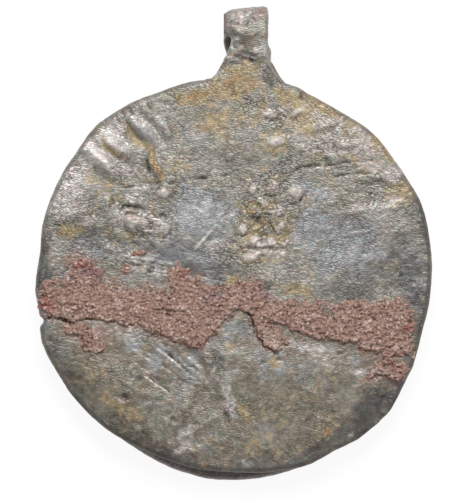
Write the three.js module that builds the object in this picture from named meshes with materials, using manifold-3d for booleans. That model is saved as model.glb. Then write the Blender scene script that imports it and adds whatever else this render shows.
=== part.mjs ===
// A two-disc lead seal: two hammered discs joined by a strip that is folded over an open eye,
// closed by a rivet whose head is clenched on the front, with a mineral crust across its face.
// Millimetres. The seal lies on its rear face. The origin is the rear disc's centre on that face,
// +Z comes out of the front face and +Y runs from the disc's centre to the strip.
import * as THREE from "three";
import { mergeVertices } from "three/addons/utils/BufferGeometryUtils.js";
import Module from "manifold-3d";

const wasm = await Module();
wasm.setup();

// Discs
const discRadius = 20;
const discThickness = 1.6;
const clothGap = 0.4;
const rimRound = 0.55;
const rearRimLift = 0.24;
const flatShare = 0.78;

// Necks, which carry the strip
const neckLength = 1.8;
const neckRoot = 2.4;
const neckFlare = 3.3;
const flareTuck = 0.7;
const neckBevel = 0.3;

// Strip, folded over its eye
const stripWidth = 4.4;
const stripOffset = 1.2;
const stripThickness = 1.15;
const stripRise = 5.05;
const stripCornerShare = 0.36;
const stripLean = 0.4;
const crestDraw = 0.6;
const eyeWidth = 1.2;
const eyeFoot = 0.6;
const frontLegInset = 0.75;
const rearLegReach = 0.35;

// Rivet
const rivetRadius = 2.1;
const rivetRootRadius = 2.8;
const rivetClearance = 0.15;
const rivetHeadRadius = 4;
const rivetHeadHeight = 0.5;
const rivetHeadEdge = 0.14;

// Torn notch in the front disc's left rim, and the tear that runs in from it
const notchDepth = 1.2;
const notchMouth = 1.6;
const tearLength = 2.8;
const tearWidth = 0.16;

// Crust on the front face
const crustThickness = 0.26;
const crustBevel = 0.07;

// Fineness of the curved surfaces
const discSegments = 96;
const rimSteps = 5;
const faceRings = 13;
const plainRings = 6;
const rivetSegments = 48;
const rivetHeadRings = 6;
const bevelSteps = 2;
const curveSteps = 8;
const cornerSteps = 2;
const foldSteps = 30;

// Levels, worked out from the thicknesses
const frontUnderside = discThickness + clothGap;
const frontTop = frontUnderside + discThickness;
const middle = frontTop / 2;
const seamY = discRadius + neckLength;

// Side edges of the strip where it leaves the necks
const stripLeft = stripOffset - stripWidth / 2;
const stripRight = stripOffset + stripWidth / 2;

// Places on the face are millimetres on a disc of this radius, and move out with a larger one.
const surveyRadius = 20;
const faceScale = discRadius / surveyRadius;
const onFace = (length) => length * faceScale;

const rivetPlace = { x: onFace(2.9), y: onFace(5) };
const notchLevel = onFace(-4.2);

// Departure of each rim from a true circle: [degrees anticlockwise from +X, millimetres outwards].
const frontRim = [
  [7, -0.14], [22, 0.1], [33, -0.15], [48, 0], [58, -0.3], [65, -0.3],
  [72, 0.06], [80, 0.14], [99, 0.06], [110, -0.04], [122, 0.28], [132, 0.48],
  [143, 0.04], [160, -0.12], [174, -0.54], [184, -0.16], [190, -0.36], [198, 0.2], [210, -0.08],
  [228, -0.28], [243, -0.68], [270, -0.66], [281, -0.3], [292, 0.06], [300, -0.1],
  [308, 0.24], [317, 0.4], [332, -0.1], [345, -0.52], [354, -0.38],
];
const rearRim = [
  [10, -0.4], [60, -0.5], [101, -0.2], [132, 0.1], [165, -0.7], [192, -1.5],
  [222, -0.45], [240, -0.28], [252, 0.08], [264, 0.3], [277, 0.25], [288, 0.12],
  [301, -0.24], [318, 0.1], [345, -0.7],
];
const rivetHeadRim = [
  [10, 0.2], [40, 0.6], [75, -0.1], [110, -0.5], [150, 0.1], [190, -0.3],
  [230, 0.45], [262, -0.1], [300, -0.5], [335, -0.2],
];

// Ridges and hollows hammered or worn into the front face. Each is a smooth hump of the given
// length and width, turned by degrees from +X, and rises from the face or sinks into it.
const faceForms = [
  { x: -11.2, y: 13.8, length: 2.9, width: 0.95, turn: -42, rise: 0.32 },
  { x: -13.3, y: 12.2, length: 3, width: 0.95, turn: -42, rise: 0.34 },
  { x: -12.4, y: 13.2, length: 3, width: 0.8, turn: -42, rise: -0.28 },
  { x: -9.4, y: 14.4, length: 3.2, width: 1.3, turn: -55, rise: -0.3 },
  { x: -8, y: 11.9, length: 3, width: 1.2, turn: -75, rise: -0.26 },
  { x: -9.6, y: 5.6, length: 3.4, width: 1.6, turn: -20, rise: 0.3 },
  { x: -7.6, y: 8.8, length: 2, width: 1.1, turn: 15, rise: -0.26 },
  { x: -16.6, y: 7.4, length: 3.4, width: 2.4, turn: 60, rise: 0.22 },
  { x: 14.8, y: 7.3, length: 3.2, width: 0.9, turn: 8, rise: 0.2 },
  { x: 12.2, y: 10.9, length: 4, width: 0.8, turn: 4, rise: -0.16 },
  { x: 7.2, y: 15.2, length: 3.4, width: 1.6, turn: -20, rise: 0.16 },
  { x: -11, y: -11.9, length: 1.8, width: 1.1, turn: 0, rise: -0.2 },
  { x: -5.6, y: -14, length: 4.2, width: 1.5, turn: 50, rise: 0.18 },
];
const rivetHeadForms = [
  { x: 2.6, y: 3.2, length: 1.5, width: 1.2, turn: 20, rise: 0.32 },
  { x: -0.4, y: -1.6, length: 2, width: 1.4, turn: 30, rise: 0.24 },
  { x: -2.4, y: -2, length: 1.3, width: 1.2, turn: 0, rise: 0.2 },
  { x: 0.4, y: 1.4, length: 2.2, width: 0.9, turn: -15, rise: -0.22 },
];
// The front disc is bent down along its lower rim, more on its face than on its underside.
const fallStart = onFace(-11.5);
const fallDepth = 0.36;
const undersideFall = 0.2;

// Broken outlines of the crust plates, anticlockwise, as places on the face.
const crustPlates = {
  crust_band: [
    [-18.6, -2.4], [-18.1, -3.5], [-16.7, -4.2], [-13.3, -4.1], [-11.5, -4.5], [-9.3, -4.9],
    [-7.6, -5.5], [-5.7, -6.3], [-4, -6.9], [-3, -6.9], [-2.7, -6], [-1.5, -5.2],
    [-1, -4.2], [0.5, -3.2], [1.3, -3.2], [1.6, -4.1], [1.9, -5.4], [2.9, -6.7],
    [3.9, -7.4], [5.2, -6.9], [4.9, -5.6], [3.9, -4.4], [6.2, -5.2], [7.7, -5.8],
    [10.2, -6.2], [12.2, -6.4], [13, -7.3], [14.4, -7.5], [15, -8.3], [16.2, -7.8],
    [17.5, -7.5], [17.5, -6.1], [18.1, -4.7], [17.4, -2.9], [16.8, -1.9], [13.3, -2.3],
    [10, -2.4], [6.8, -2.3], [5, -2.2], [3.6, -1.8], [2.4, -0.5], [1.3, -0.1],
    [0.2, -0.4], [-0.8, -1.1], [-2.6, -0.9], [-3.6, -0.3], [-4.6, 0.7], [-5.4, 1.4],
    [-6.5, 0.9], [-6.7, -0.3], [-7.4, -1.2], [-9, -0.7], [-11, -0.8], [-12.9, 0.1],
    [-13, 0.9], [-14, 1.6], [-15.2, 2.2], [-16.4, 1.8], [-16.5, 0.6], [-17.5, 0.1],
    [-18.4, -0.6],
  ],
  crust_tongue: [
    [-17.1, -4.6], [-16.2, -5.6], [-15.4, -6.1], [-14.9, -6.9], [-14, -7.2], [-12.9, -7],
    [-13.1, -6.1], [-13.9, -5.2], [-14.9, -4.6],
  ],
  crust_patch: [
    [13, -10], [14.6, -9.7], [16.2, -10.2], [17, -9.2], [16.5, -8.3], [15.2, -8.7],
    [14.4, -8.3],
  ],
  crust_islet_left: [
    [-11.3, 0.9], [-10.6, 0.7], [-10.3, 1.1], [-10.9, 1.4],
  ],
  crust_islet_right: [
    [-10.3, 2.3], [-9.2, 2.1], [-8.9, 2.5], [-9.8, 2.8],
  ],
};

// Finishes
const finishes = {
  lead: { color: 0x77776c, roughness: 0.62, metalness: 0.75 },
  brightLead: { color: 0x8f8c82, roughness: 0.55, metalness: 0.75 },
  wornLead: { color: 0x857f68, roughness: 0.66, metalness: 0.6 },
  crust: { color: 0x8f6459, roughness: 0.92, metalness: 0 },
};

// Moves smoothly from 0 to 1 as the share goes from 0 to 1.
const eased = (share) => {
  const t = THREE.MathUtils.clamp(share, 0, 1);
  return t * t * (3 - 2 * t);
};

// A closed geometry as a solid that can be joined and cut.
function solid(geometry) {
  const bare = geometry.clone();
  bare.deleteAttribute("normal");
  bare.deleteAttribute("uv");
  const merged = mergeVertices(bare);
  return new wasm.Manifold(
    new wasm.Mesh({
      numProp: 3,
      vertProperties: merged.attributes.position.array,
      triVerts: new Uint32Array(merged.index.array),
    }),
  );
}

// A solid back as a geometry.
function geometryOf(made) {
  const mesh = made.getMesh();
  const geometry = new THREE.BufferGeometry();
  geometry.setAttribute("position", new THREE.BufferAttribute(mesh.vertProperties, 3));
  geometry.setIndex(new THREE.BufferAttribute(mesh.triVerts, 1));
  return geometry;
}

function piece(name, geometry, finish) {
  const shown = geometry.clone();
  shown.computeVertexNormals();
  const mesh = new THREE.Mesh(shown, new THREE.MeshStandardMaterial(finish));
  mesh.name = name;
  return mesh;
}

// How far an uneven rim stands out from its circle in the direction of an angle in radians.
function outwards(rim, angle) {
  const degrees = THREE.MathUtils.euclideanModulo(THREE.MathUtils.radToDeg(angle), 360);
  const found = rim.findIndex(([at]) => at > degrees);
  const next = found < 0 ? 0 : found;
  const last = (next + rim.length - 1) % rim.length;
  const [from, a] = rim[last];
  const [to, b] = rim[next];
  const span = THREE.MathUtils.euclideanModulo(to - from, 360);
  const along = THREE.MathUtils.euclideanModulo(degrees - from, 360);
  return THREE.MathUtils.lerp(a, b, eased(along / span));
}

// Height that a list of forms adds at a point. Each form ends exactly at its own outline.
function relief(forms, x, y) {
  return forms.reduce((sum, form) => {
    const turn = THREE.MathUtils.degToRad(form.turn);
    const dx = x - onFace(form.x);
    const dy = y - onFace(form.y);
    const along = (dx * Math.cos(turn) + dy * Math.sin(turn)) / onFace(form.length);
    const across = (dy * Math.cos(turn) - dx * Math.sin(turn)) / onFace(form.width);
    const inside = Math.max(0, 1 - along * along - across * across);
    return sum + form.rise * inside * inside;
  }, 0);
}

// How far a place has come along the bend at the lower rim, and along the lift of the rear rim.
const bent = (y) => eased((fallStart - y) / (fallStart + discRadius));
const lifted = (x, y) => eased((Math.hypot(x, y) / discRadius - flatShare) / (1 - flatShare));

// Turns a profile of [radius, height] about +Z and moves each point with reshape(x, y, z).
function turned(profile, segments, reshape) {
  const points = profile.map(([radius, height]) => new THREE.Vector2(radius, height));
  const geometry = mergeVertices(bareLathe(points, segments));
  geometry.rotateX(Math.PI / 2);
  const place = geometry.attributes.position;
  for (let i = 0; i < place.count; i += 1) {
    place.setXYZ(i, ...reshape(place.getX(i), place.getY(i), place.getZ(i)));
  }
  return geometry;
}

function bareLathe(points, segments) {
  const geometry = new THREE.LatheGeometry(points, segments);
  geometry.deleteAttribute("normal");
  geometry.deleteAttribute("uv");
  return geometry;
}

// A disc with a worn, rounded rim. Its two faces have rings of points, so that undersideAt(x, y)
// and topAt(x, y) can raise or sink them, and its rim departs from the circle as listed.
function hammeredDisc({ bottom, rim, undersideRings, undersideAt, topRings, topAt }) {
  const half = discThickness / 2;
  const flatRadius = discRadius - rimRound;
  const profile = [];
  for (let ring = 0; ring < undersideRings; ring += 1) {
    profile.push([(flatRadius * ring) / undersideRings, bottom]);
  }
  for (let step = 0; step <= rimSteps; step += 1) {
    const turn = -Math.PI / 2 + (Math.PI * step) / rimSteps;
    profile.push([
      flatRadius + rimRound * Math.cos(turn),
      bottom + half + half * Math.sin(turn),
    ]);
  }
  for (let ring = topRings - 1; ring >= 0; ring -= 1) {
    profile.push([(flatRadius * ring) / topRings, bottom + discThickness]);
  }
  return turned(profile, discSegments, (x, y, z) => {
    const share = Math.hypot(x, y) / discRadius;
    const grown = 1 + (outwards(rim, Math.atan2(y, x)) * share) / discRadius;
    const height = (z - bottom) / discThickness;
    const rise = (at) => at(x * grown, y * grown);
    return [x * grown, y * grown, z + THREE.MathUtils.lerp(rise(undersideAt), rise(topAt), height)];
  });
}

// An outline extruded upwards between two heights.
function plate(shape, low, high, bevel = 0) {
  const geometry = new THREE.ExtrudeGeometry(shape, {
    depth: high - low - 2 * bevel,
    bevelEnabled: bevel > 0,
    bevelSize: bevel,
    bevelOffset: -bevel,
    bevelThickness: bevel,
    bevelSegments: bevelSteps,
    curveSegments: curveSteps,
  });
  geometry.translate(0, 0, low + bevel);
  return geometry;
}

// The neck of one disc, with a concave flare on each side, cut square where the strip starts.
function neck(bottom, left, right) {
  const shape = new THREE.Shape();
  const rootY = discRadius - neckRoot;
  const past = seamY + 2 * neckBevel;
  shape.moveTo(left, past);
  shape.lineTo(left, seamY);
  shape.quadraticCurveTo(left - flareTuck, discRadius, left - neckFlare, rootY);
  shape.lineTo(right + neckFlare, rootY);
  shape.quadraticCurveTo(right + flareTuck, discRadius, right, seamY);
  shape.lineTo(right, past);
  const blank = solid(plate(shape, bottom, bottom + discThickness, neckBevel));
  const reach = 2 * discRadius;
  const beyond = new THREE.BoxGeometry(reach, reach, reach);
  beyond.translate(0, seamY + reach / 2, bottom);
  return blank.subtract(solid(beyond));
}

function rivetHole() {
  const hole = new THREE.CylinderGeometry(
    rivetRadius + rivetClearance,
    rivetRadius + rivetClearance,
    2 * frontTop,
    rivetSegments,
  );
  hole.rotateX(Math.PI / 2);
  hole.translate(rivetPlace.x, rivetPlace.y, frontTop);
  return solid(hole);
}

// The wedge that is missing from the left rim, narrowing into the tear.
function tornNotch() {
  const tipX = notchDepth - discRadius;
  const openX = tipX - 2 * notchDepth;
  const shape = new THREE.Shape();
  shape.moveTo(openX, notchLevel + notchMouth);
  shape.lineTo(tipX, notchLevel + tearWidth / 2);
  shape.lineTo(tipX + tearLength, notchLevel);
  shape.lineTo(tipX, notchLevel - tearWidth / 2);
  shape.lineTo(openX, notchLevel - notchMouth);
  shape.closePath();
  return solid(plate(shape, 0, 2 * frontTop));
}

function frontDisc() {
  const blank = hammeredDisc({
    bottom: frontUnderside,
    rim: frontRim,
    undersideRings: plainRings,
    undersideAt: (x, y) => -undersideFall * bent(y),
    topRings: faceRings,
    topAt: (x, y) => relief(faceForms, x, y) - fallDepth * bent(y),
  });
  const made = solid(blank)
    .add(neck(frontUnderside, stripLeft, stripRight))
    .subtract(rivetHole())
    .subtract(tornNotch());
  return geometryOf(made);
}

function rearDisc() {
  const blank = hammeredDisc({
    bottom: 0,
    rim: rearRim,
    undersideRings: plainRings,
    undersideAt: (x, y) => rearRimLift * lifted(x, y),
    topRings: 2,
    topAt: () => 0,
  });
  return geometryOf(solid(blank).add(neck(0, stripLeft, stripRight + rearLegReach)));
}

// The rivet stands on the rear disc, passes through the front one and spreads out on its face.
function rivet() {
  const edge = frontTop + rivetHeadEdge;
  const crown = frontTop + rivetHeadHeight;
  const profile = [
    [0, discThickness],
    [rivetRootRadius, discThickness],
    [(rivetRootRadius + rivetRadius) / 2, discThickness + clothGap / 3],
    [rivetRadius, frontUnderside],
    [rivetRadius, frontTop],
    [rivetHeadRadius, frontTop],
  ];
  for (let ring = 0; ring <= rivetHeadRings; ring += 1) {
    const inwards = ring / rivetHeadRings;
    const height = THREE.MathUtils.lerp(edge, crown, eased(2 * inwards));
    profile.push([rivetHeadRadius * (1 - inwards), height]);
  }
  const geometry = turned(profile, rivetSegments, (x, y, z) => {
    const radius = Math.hypot(x, y);
    const share = Math.max(0, (radius - rivetRadius) / (rivetHeadRadius - rivetRadius));
    const spread = z < frontTop ? 0 : share * outwards(rivetHeadRim, Math.atan2(y, x));
    const grown = radius > 0 ? 1 + spread / radius : 1;
    const above = Math.max(0, z - edge) / (crown - edge);
    return [x * grown, y * grown, z + above * relief(rivetHeadForms, x * grown, y * grown)];
  });
  return geometry.translate(rivetPlace.x, rivetPlace.y, 0);
}

// The strip as one lofted ribbon. Its stations run up the front leg, over the eye and down the
// rear leg: y above the seam, z from the middle plane, thickness and the two side edges.
function foldStations() {
  const legLevel = (discThickness + clothGap) / 2;
  const eyeLevel = (eyeWidth + stripThickness) / 2;
  const crestY = stripRise - stripThickness / 2;
  const turnY = crestY - eyeLevel;
  const eyeY = (eyeFoot + turnY) / 2;
  const rearRight = stripRight + rearLegReach;
  const shoulder = Math.SQRT1_2 * eyeLevel;
  const inset = stripLeft + frontLegInset;
  const drawn = stripLeft + crestDraw;
  const thin = stripThickness;
  const stout = (discThickness + 2 * thin) / 3;
  return [
    { y: 0, z: legLevel, thick: discThickness, left: stripLeft, right: stripRight },
    { y: eyeFoot, z: legLevel, thick: stout, left: (inset + stripLeft) / 2, right: stripRight },
    { y: eyeY, z: eyeLevel, thick: thin, left: inset, right: stripRight },
    { y: turnY, z: eyeLevel, thick: thin, left: (inset + stripLeft) / 2, right: stripRight },
    { y: turnY + shoulder, z: shoulder, thick: thin, left: stripLeft, right: stripRight },
    { y: crestY, z: 0, thick: thin, left: drawn, right: stripRight },
    { y: turnY + shoulder, z: -shoulder, thick: thin, left: stripLeft, right: stripRight },
    { y: turnY, z: -eyeLevel, thick: thin, left: stripLeft, right: stripRight },
    { y: eyeY, z: -eyeLevel, thick: thin, left: stripLeft, right: stripRight },
    { y: eyeFoot, z: -legLevel, thick: stout, left: (drawn + stripLeft) / 2, right: rearRight },
    { y: 0, z: -legLevel, thick: discThickness, left: stripLeft, right: rearRight },
  ];
}

// The outline of a rounded rectangle of a width and a thickness, as [across, through] points.
function ribbonSection(width, thick) {
  const round = stripCornerShare * thick;
  const corners = [[1, -1], [1, 1], [-1, 1], [-1, -1]];
  return corners.flatMap(([side, face], corner) =>
    Array.from({ length: cornerSteps + 1 }, (_, step) => {
      const turn = (Math.PI / 2) * (corner - 1 + step / cornerSteps);
      return [
        side * (width / 2 - round) + round * Math.cos(turn),
        face * (thick / 2 - round) + round * Math.sin(turn),
      ];
    }),
  );
}

function connectingStrip() {
  const stations = foldStations();
  const path = new THREE.CatmullRomCurve3(
    stations.map(({ y, z }) => new THREE.Vector3(0, seamY + y, middle + z)),
  );
  const between = (key, share) => {
    const at = share * (stations.length - 1);
    const low = Math.min(Math.floor(at), stations.length - 2);
    return THREE.MathUtils.lerp(stations[low][key], stations[low + 1][key], eased(at - low));
  };
  const sections = Array.from({ length: foldSteps + 1 }, (_, step) => {
    const share = step / foldSteps;
    const centre = path.getPoint(share);
    const end = step === 0 || step === foldSteps;
    const ahead = end ? new THREE.Vector3(0, step === 0 ? 1 : -1, 0) : path.getTangent(share);
    const left = between("left", share);
    const right = between("right", share);
    const lean = (eased((centre.y - seamY) / stripRise) * stripLean) / stripWidth;
    return ribbonSection(right - left, between("thick", share)).map(([across, through]) => [
      (left + right) / 2 + across,
      centre.y - ahead.z * through + lean * across,
      centre.z + ahead.y * through,
    ]);
  });
  const around = sections[0].length;
  const indices = [];
  for (let step = 0; step < foldSteps; step += 1) {
    for (let side = 0; side < around; side += 1) {
      const a = step * around + side;
      const b = step * around + ((side + 1) % around);
      indices.push(a, a + around, b, b, a + around, b + around);
    }
  }
  const last = foldSteps * around;
  for (let side = 1; side < around - 1; side += 1) {
    indices.push(0, side, side + 1);
    indices.push(last, last + side + 1, last + side);
  }
  const geometry = new THREE.BufferGeometry();
  geometry.setAttribute("position", new THREE.Float32BufferAttribute(sections.flat(2), 3));
  geometry.setIndex(indices);
  return geometry;
}

// A crust plate lies flat on the front face.
function crustPlate(outline) {
  const shape = new THREE.Shape(outline.map(([x, y]) => new THREE.Vector2(onFace(x), onFace(y))));
  return plate(shape, frontTop, frontTop + crustThickness, crustBevel);
}

const seal = new THREE.Group();
seal.add(piece("rear_disc", rearDisc(), finishes.lead));
seal.add(piece("front_disc", frontDisc(), finishes.lead));
seal.add(piece("connecting_strip", connectingStrip(), finishes.brightLead));
seal.add(piece("rivet", rivet(), finishes.wornLead));
Object.entries(crustPlates).forEach(([name, outline]) => {
  seal.add(piece(name, crustPlate(outline), finishes.crust));
});

export default seal;
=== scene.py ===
import functools
import math

import bmesh
import bpy
import numpy as np
from bpy.props import FloatProperty, FloatVectorProperty, IntProperty, PointerProperty
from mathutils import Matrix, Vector, noise
from mathutils.bvhtree import BVHTree


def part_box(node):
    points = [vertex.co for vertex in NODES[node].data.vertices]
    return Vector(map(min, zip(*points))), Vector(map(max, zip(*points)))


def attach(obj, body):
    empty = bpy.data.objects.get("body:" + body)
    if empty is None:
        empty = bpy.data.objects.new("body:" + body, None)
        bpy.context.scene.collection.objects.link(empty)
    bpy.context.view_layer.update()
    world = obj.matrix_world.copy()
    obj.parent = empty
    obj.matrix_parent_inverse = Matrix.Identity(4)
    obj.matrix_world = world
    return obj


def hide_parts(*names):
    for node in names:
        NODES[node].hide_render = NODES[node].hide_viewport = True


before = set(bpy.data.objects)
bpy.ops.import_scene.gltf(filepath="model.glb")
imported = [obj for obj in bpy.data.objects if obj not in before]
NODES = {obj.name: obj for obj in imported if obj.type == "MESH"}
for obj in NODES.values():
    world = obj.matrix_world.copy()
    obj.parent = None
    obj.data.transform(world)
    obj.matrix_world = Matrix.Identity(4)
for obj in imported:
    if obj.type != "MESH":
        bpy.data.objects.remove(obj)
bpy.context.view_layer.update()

bl_info = {
    "name": "Lead seal",
    "version": (1, 0, 0),
    "blender": (4, 5, 0),
    "location": "3D View > Sidebar > Lead Seal",
    "description": "Gives a hammered lead seal its worn surface, patina and mineral crust",
    "category": "Object",
}

# Places and sizes in this file are millimetres in the seal's own frame, unless a comment says
# otherwise.
MM = 0.001


def box(node):
    """The lowest and highest corners of a CAD node, in millimetres."""
    low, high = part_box(node)
    return np.array(low) / MM, np.array(high) / MM


# Levels and widths that the frame gives.
DISC_THICKNESS = box("rear_disc")[1][2]
FACE = box("crust_band")[0][2]
FRONT_UNDERSIDE = FACE - DISC_THICKNESS
SEAM = box("connecting_strip")[0][1]
DISC_RADIUS = (box("front_disc")[1][0] - box("front_disc")[0][0]) / 2
RIVET_PLACE = (box("rivet")[0] + box("rivet")[1])[:2] / 2

# Middle of the picture on the face, and the lamp's place.
VIEW_MIDDLE = (-0.13, 2.81)
WINDOW_PLACE = (20.0, 290.0, 360.0)


def paint(code):
    """A colour written as sRGB hex, in the linear light that shaders use."""
    shares = [int(code[i : i + 2], 16) / 255 for i in (1, 3, 5)]
    return [c / 12.92 if c <= 0.04045 else ((c + 0.055) / 1.055) ** 2.4 for c in shares] + [1.0]


def length(name, description, size):
    """A length that a user may change, given in millimetres."""
    return FloatProperty(
        name=name, description=description, default=size * MM, min=0.0, precision=6, unit="LENGTH"
    )


def colour(name, description, code):
    """A colour that a user may change, given as sRGB hex."""
    return FloatVectorProperty(
        name=name,
        description=description,
        default=paint(code),
        size=4,
        min=0.0,
        max=1.0,
        subtype="COLOR",
    )


def cells_across(name, description, number):
    """A number of squares across a mesh, which a user may change."""
    return IntProperty(name=name, description=description, default=number, min=20, max=600)


def light_share(name, description, value):
    """A share of the light that a user may change. 1 is all the light that shows white as white."""
    return FloatProperty(
        name=name, description=description, default=value, min=0.0, max=2.0, subtype="FACTOR"
    )


class SealShape(bpy.types.PropertyGroup):
    """Sizes of the seal's worn surface."""

    swell: length("Swell", "Height of the face's broad swells", 0.10)
    lumps: length("Lumps", "Height of the worn lumps on the face", 0.12)
    layers: length("Layers", "Height of the flaked layers on the face", 0.055)
    grain: length("Grain", "Height of the corroded grain on the face", 0.04)
    rim_round: length("Rim rounding", "How far the discs' edges are rounded", 0.55)
    rim_dents: length("Rim dents", "Depth of the dents round the discs' edges", 0.07)
    crust_ripples: length("Crust ripples", "Height of the ripples on the crust", 0.075)
    crust_grain: length("Crust grain", "Height of the grains on the crust", 0.13)
    crust_cell: length("Crust mesh", "Side of the squares of the crust's mesh", 0.085)
    fold_cell: length("Strip and rivet mesh", "Side of the squares of their meshes", 0.1)
    front_cells: cells_across("Front mesh", "Squares across the front disc", 280)
    rear_cells: cells_across("Rear mesh", "Squares across the rear disc", 200)


class LeadColours(bpy.types.PropertyGroup):
    """Colours of the lead and its patina."""

    skin: colour("Skin", "Grey skin of the lead", "#b9b7b1")
    olive: colour("Olive", "Greenish blotches in the skin", "#a6a597")
    slate: colour("Slate", "Smooth bluish areas", "#acb0b3")
    # Dark slate, and painted shade on slopes and rims that turn away from the lamp.
    dark_slate_and_shade: colour("Dusk", "Darker bluish areas", "#777774")
    brown: colour("Brown", "Brown soiled areas", "#979080")
    ochre: colour("Ochre", "Yellow earth in the hollows", "#c2b089")
    orange: colour("Orange", "Rusty spots", "#bf9a6e")
    soil: colour("Soil", "Dark earth left in hollows", "#4f4840")
    stain: colour("Stain", "Red dust beside the crust", "#ad9489")
    # Chalk on the ridges and lumps, and a painted highlight on ridges, swells and lumps that face
    # the lamp.
    pale: colour("Pale", "Chalky ridges", "#dfdad6")
    # Bare lead on high places, and painted glints on the peaks of the texture.
    worn: colour("Worn", "Bare high places", "#e2dfda")
    # Soil in cracks and pits, and painted shade in hollows, creases, between lumps, in the eye and
    # on the edges.
    dark_hollows_and_shade: colour("Deep", "Soiled cracks and pits", "#3c342c")
    rear: colour("Rear", "Skin of the rear disc", "#948987")
    rear_olive: colour("Rear blotches", "Blotches on the rear disc", "#8e867d")


class CrustColours(bpy.types.PropertyGroup):
    """Colours of the mineral crust."""

    crust: colour("Crust", "Main colour of the crust", "#be9b8d")
    earth: colour("Earth", "Browner clouds in the crust", "#b59081")
    red: colour("Red", "Red spots", "#a8655c")
    purple: colour("Purple", "Purplish areas", "#a08086")
    pink: colour("Pink", "Pinkish pale areas", "#cdb3a8")
    # Painted glints on small spots of the crust.
    wear_and_glints: colour("Rubbed", "Rubbed high places", "#ecdad0")
    # Painted shade in the creases and cracks of the crust.
    hollow: colour("Hollow", "Places between the grains", "#4e382f")


class StageSettings(bpy.types.PropertyGroup):
    """The room, the lamp and the camera."""

    room: light_share("Room light", "Share of the light that comes evenly", 0.39)
    window: light_share("Window light", "Share of the light that comes from the lamp", 0.76)
    window_side: length("Window side", "Side of the square lamp", 200.0)
    lens: FloatProperty(
        name="Lens", description="Focal length of the camera", default=200.0, min=1.0, unit="CAMERA"
    )
    view_height: length("View height", "Height of the picture on the face", 49.59)


# Rows of faces round a disc's rounded edge, and the rings of its plain side, as shares of its size.
RIM_STEPS = 10
PLAIN_RINGS = (0.93, 0.8, 0.55, 0.25)
# Width of a flaked edge, and how far the rivet's head was beaten out.
SCARP_LIP = 0.12
RIVET_REACH = 3.9
# Heights up the seal: the ends of the eye and the start of the strip's crest.
EYE_LOW, EYE_HIGH, CREST = 23.9, 26.3, 24.6
# Where the face bends back at its lowest part, and where the crust band is drawn out to the rim.
LOWER_BEND, BAND_END = -11.5, -17.2
# The crust's visible border lies this far outside its CAD one, its grid reaches this far past it,
# its thin edge ends this far outside the border, and its underside is sunk this deep in the face.
CRUST_BEVEL, CRUST_MARGIN, CRUST_LAP, CRUST_ROOT = 0.07, 0.9, 0.4, 0.35

# Relief of the front face. Each form is a smooth hump or hollow:
# x, y, half length, half width, turn from +X in degrees, rise.
FORMS = (
    (-11.9, 13.1, 3.0, 1.2, -36, 0.6),
    (-12.9, 11.3, 3.7, 1.25, -41, 0.58),
    (-12.5, 13.0, 2.6, 0.5, -52, -0.28),
    (-9.8, 14.1, 2.3, 0.7, -50, -0.34),
    (-9.4, 15.0, 2.2, 0.8, -45, 0.3),
    (-7.9, 14.6, 2.2, 0.7, -52, -0.24),
    (-6.9, 14.9, 2.0, 0.7, -52, 0.2),
    (-8.2, 12.7, 1.3, 0.5, -75, -0.3),
    (-7.8, 10.7, 1.0, 0.65, -78, 0.3),
    (-11.6, 16.0, 1.0, 0.3, -55, 0.2),
    (-10.8, 16.5, 1.1, 0.3, -57, 0.24),
    (-10.0, 16.9, 1.1, 0.3, -60, 0.24),
    (-9.2, 17.2, 1.0, 0.3, -62, 0.2),
    (-8.3, 17.5, 0.9, 0.3, -64, 0.16),
    (-14.4, 15.0, 1.8, 0.7, 40, 0.16),
    (-9.6, 7.4, 2.2, 0.6, -10, 0.2),
    (-11.6, 7.6, 1.4, 0.8, 60, -0.2),
    (-8.6, 5.4, 6.4, 2.3, -22, 0.34),
    (-7.4, 1.9, 6.6, 1.5, -24, -0.26),
    (-16.6, 7.4, 4.2, 3.6, 40, 0.42),
    (-16.8, 6.2, 2.4, 0.8, 6, 0.14),
    (-3.0, 4.9, 4.6, 3.2, -6, 0.26),
    (12.8, 6.8, 2.8, 0.9, 10, 0.22),
    (15.4, 7.2, 2.2, 0.7, 2, 0.2),
    (14.9, 9.2, 2.6, 0.6, -8, -0.2),
    (13.6, 12.6, 3.4, 1.3, -18, 0.2),
    (9.8, 14.4, 5.2, 3.4, -28, 0.34),
    (8.4, 14.9, 2.6, 0.6, 18, 0.2),
    (-11.0, -11.8, 1.1, 0.6, 5, -0.2),
    (-5.6, -13.8, 3.6, 1.1, 52, 0.22),
    (-3.2, -15.6, 2.6, 0.9, 40, -0.2),
    (-2.2, -9.2, 3.4, 0.8, -66, 0.2),
    (-0.6, -12.6, 2.8, 0.6, -70, 0.18),
    (-3.6, -8.6, 2.8, 0.7, -60, -0.14),
    (0.6, -9.5, 7.0, 4.0, 0, 0.2),
    (8.4, -10.2, 4.4, 3.4, -20, 0.26),
    (11.5, 3.2, 7.0, 4.0, -20, -0.22),
    (2.0, 12.5, 5.0, 3.4, 10, 0.16),
    (-11.2, -11.0, 4.8, 3.2, -45, 0.36),
    (14.6, -13.2, 2.6, 5.4, -48, -0.75),
    (-16.2, -11.2, 2.2, 5.6, 38, -0.5),
    (-12.4, 3.9, 4.6, 1.1, -14, -0.2),
)
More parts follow.
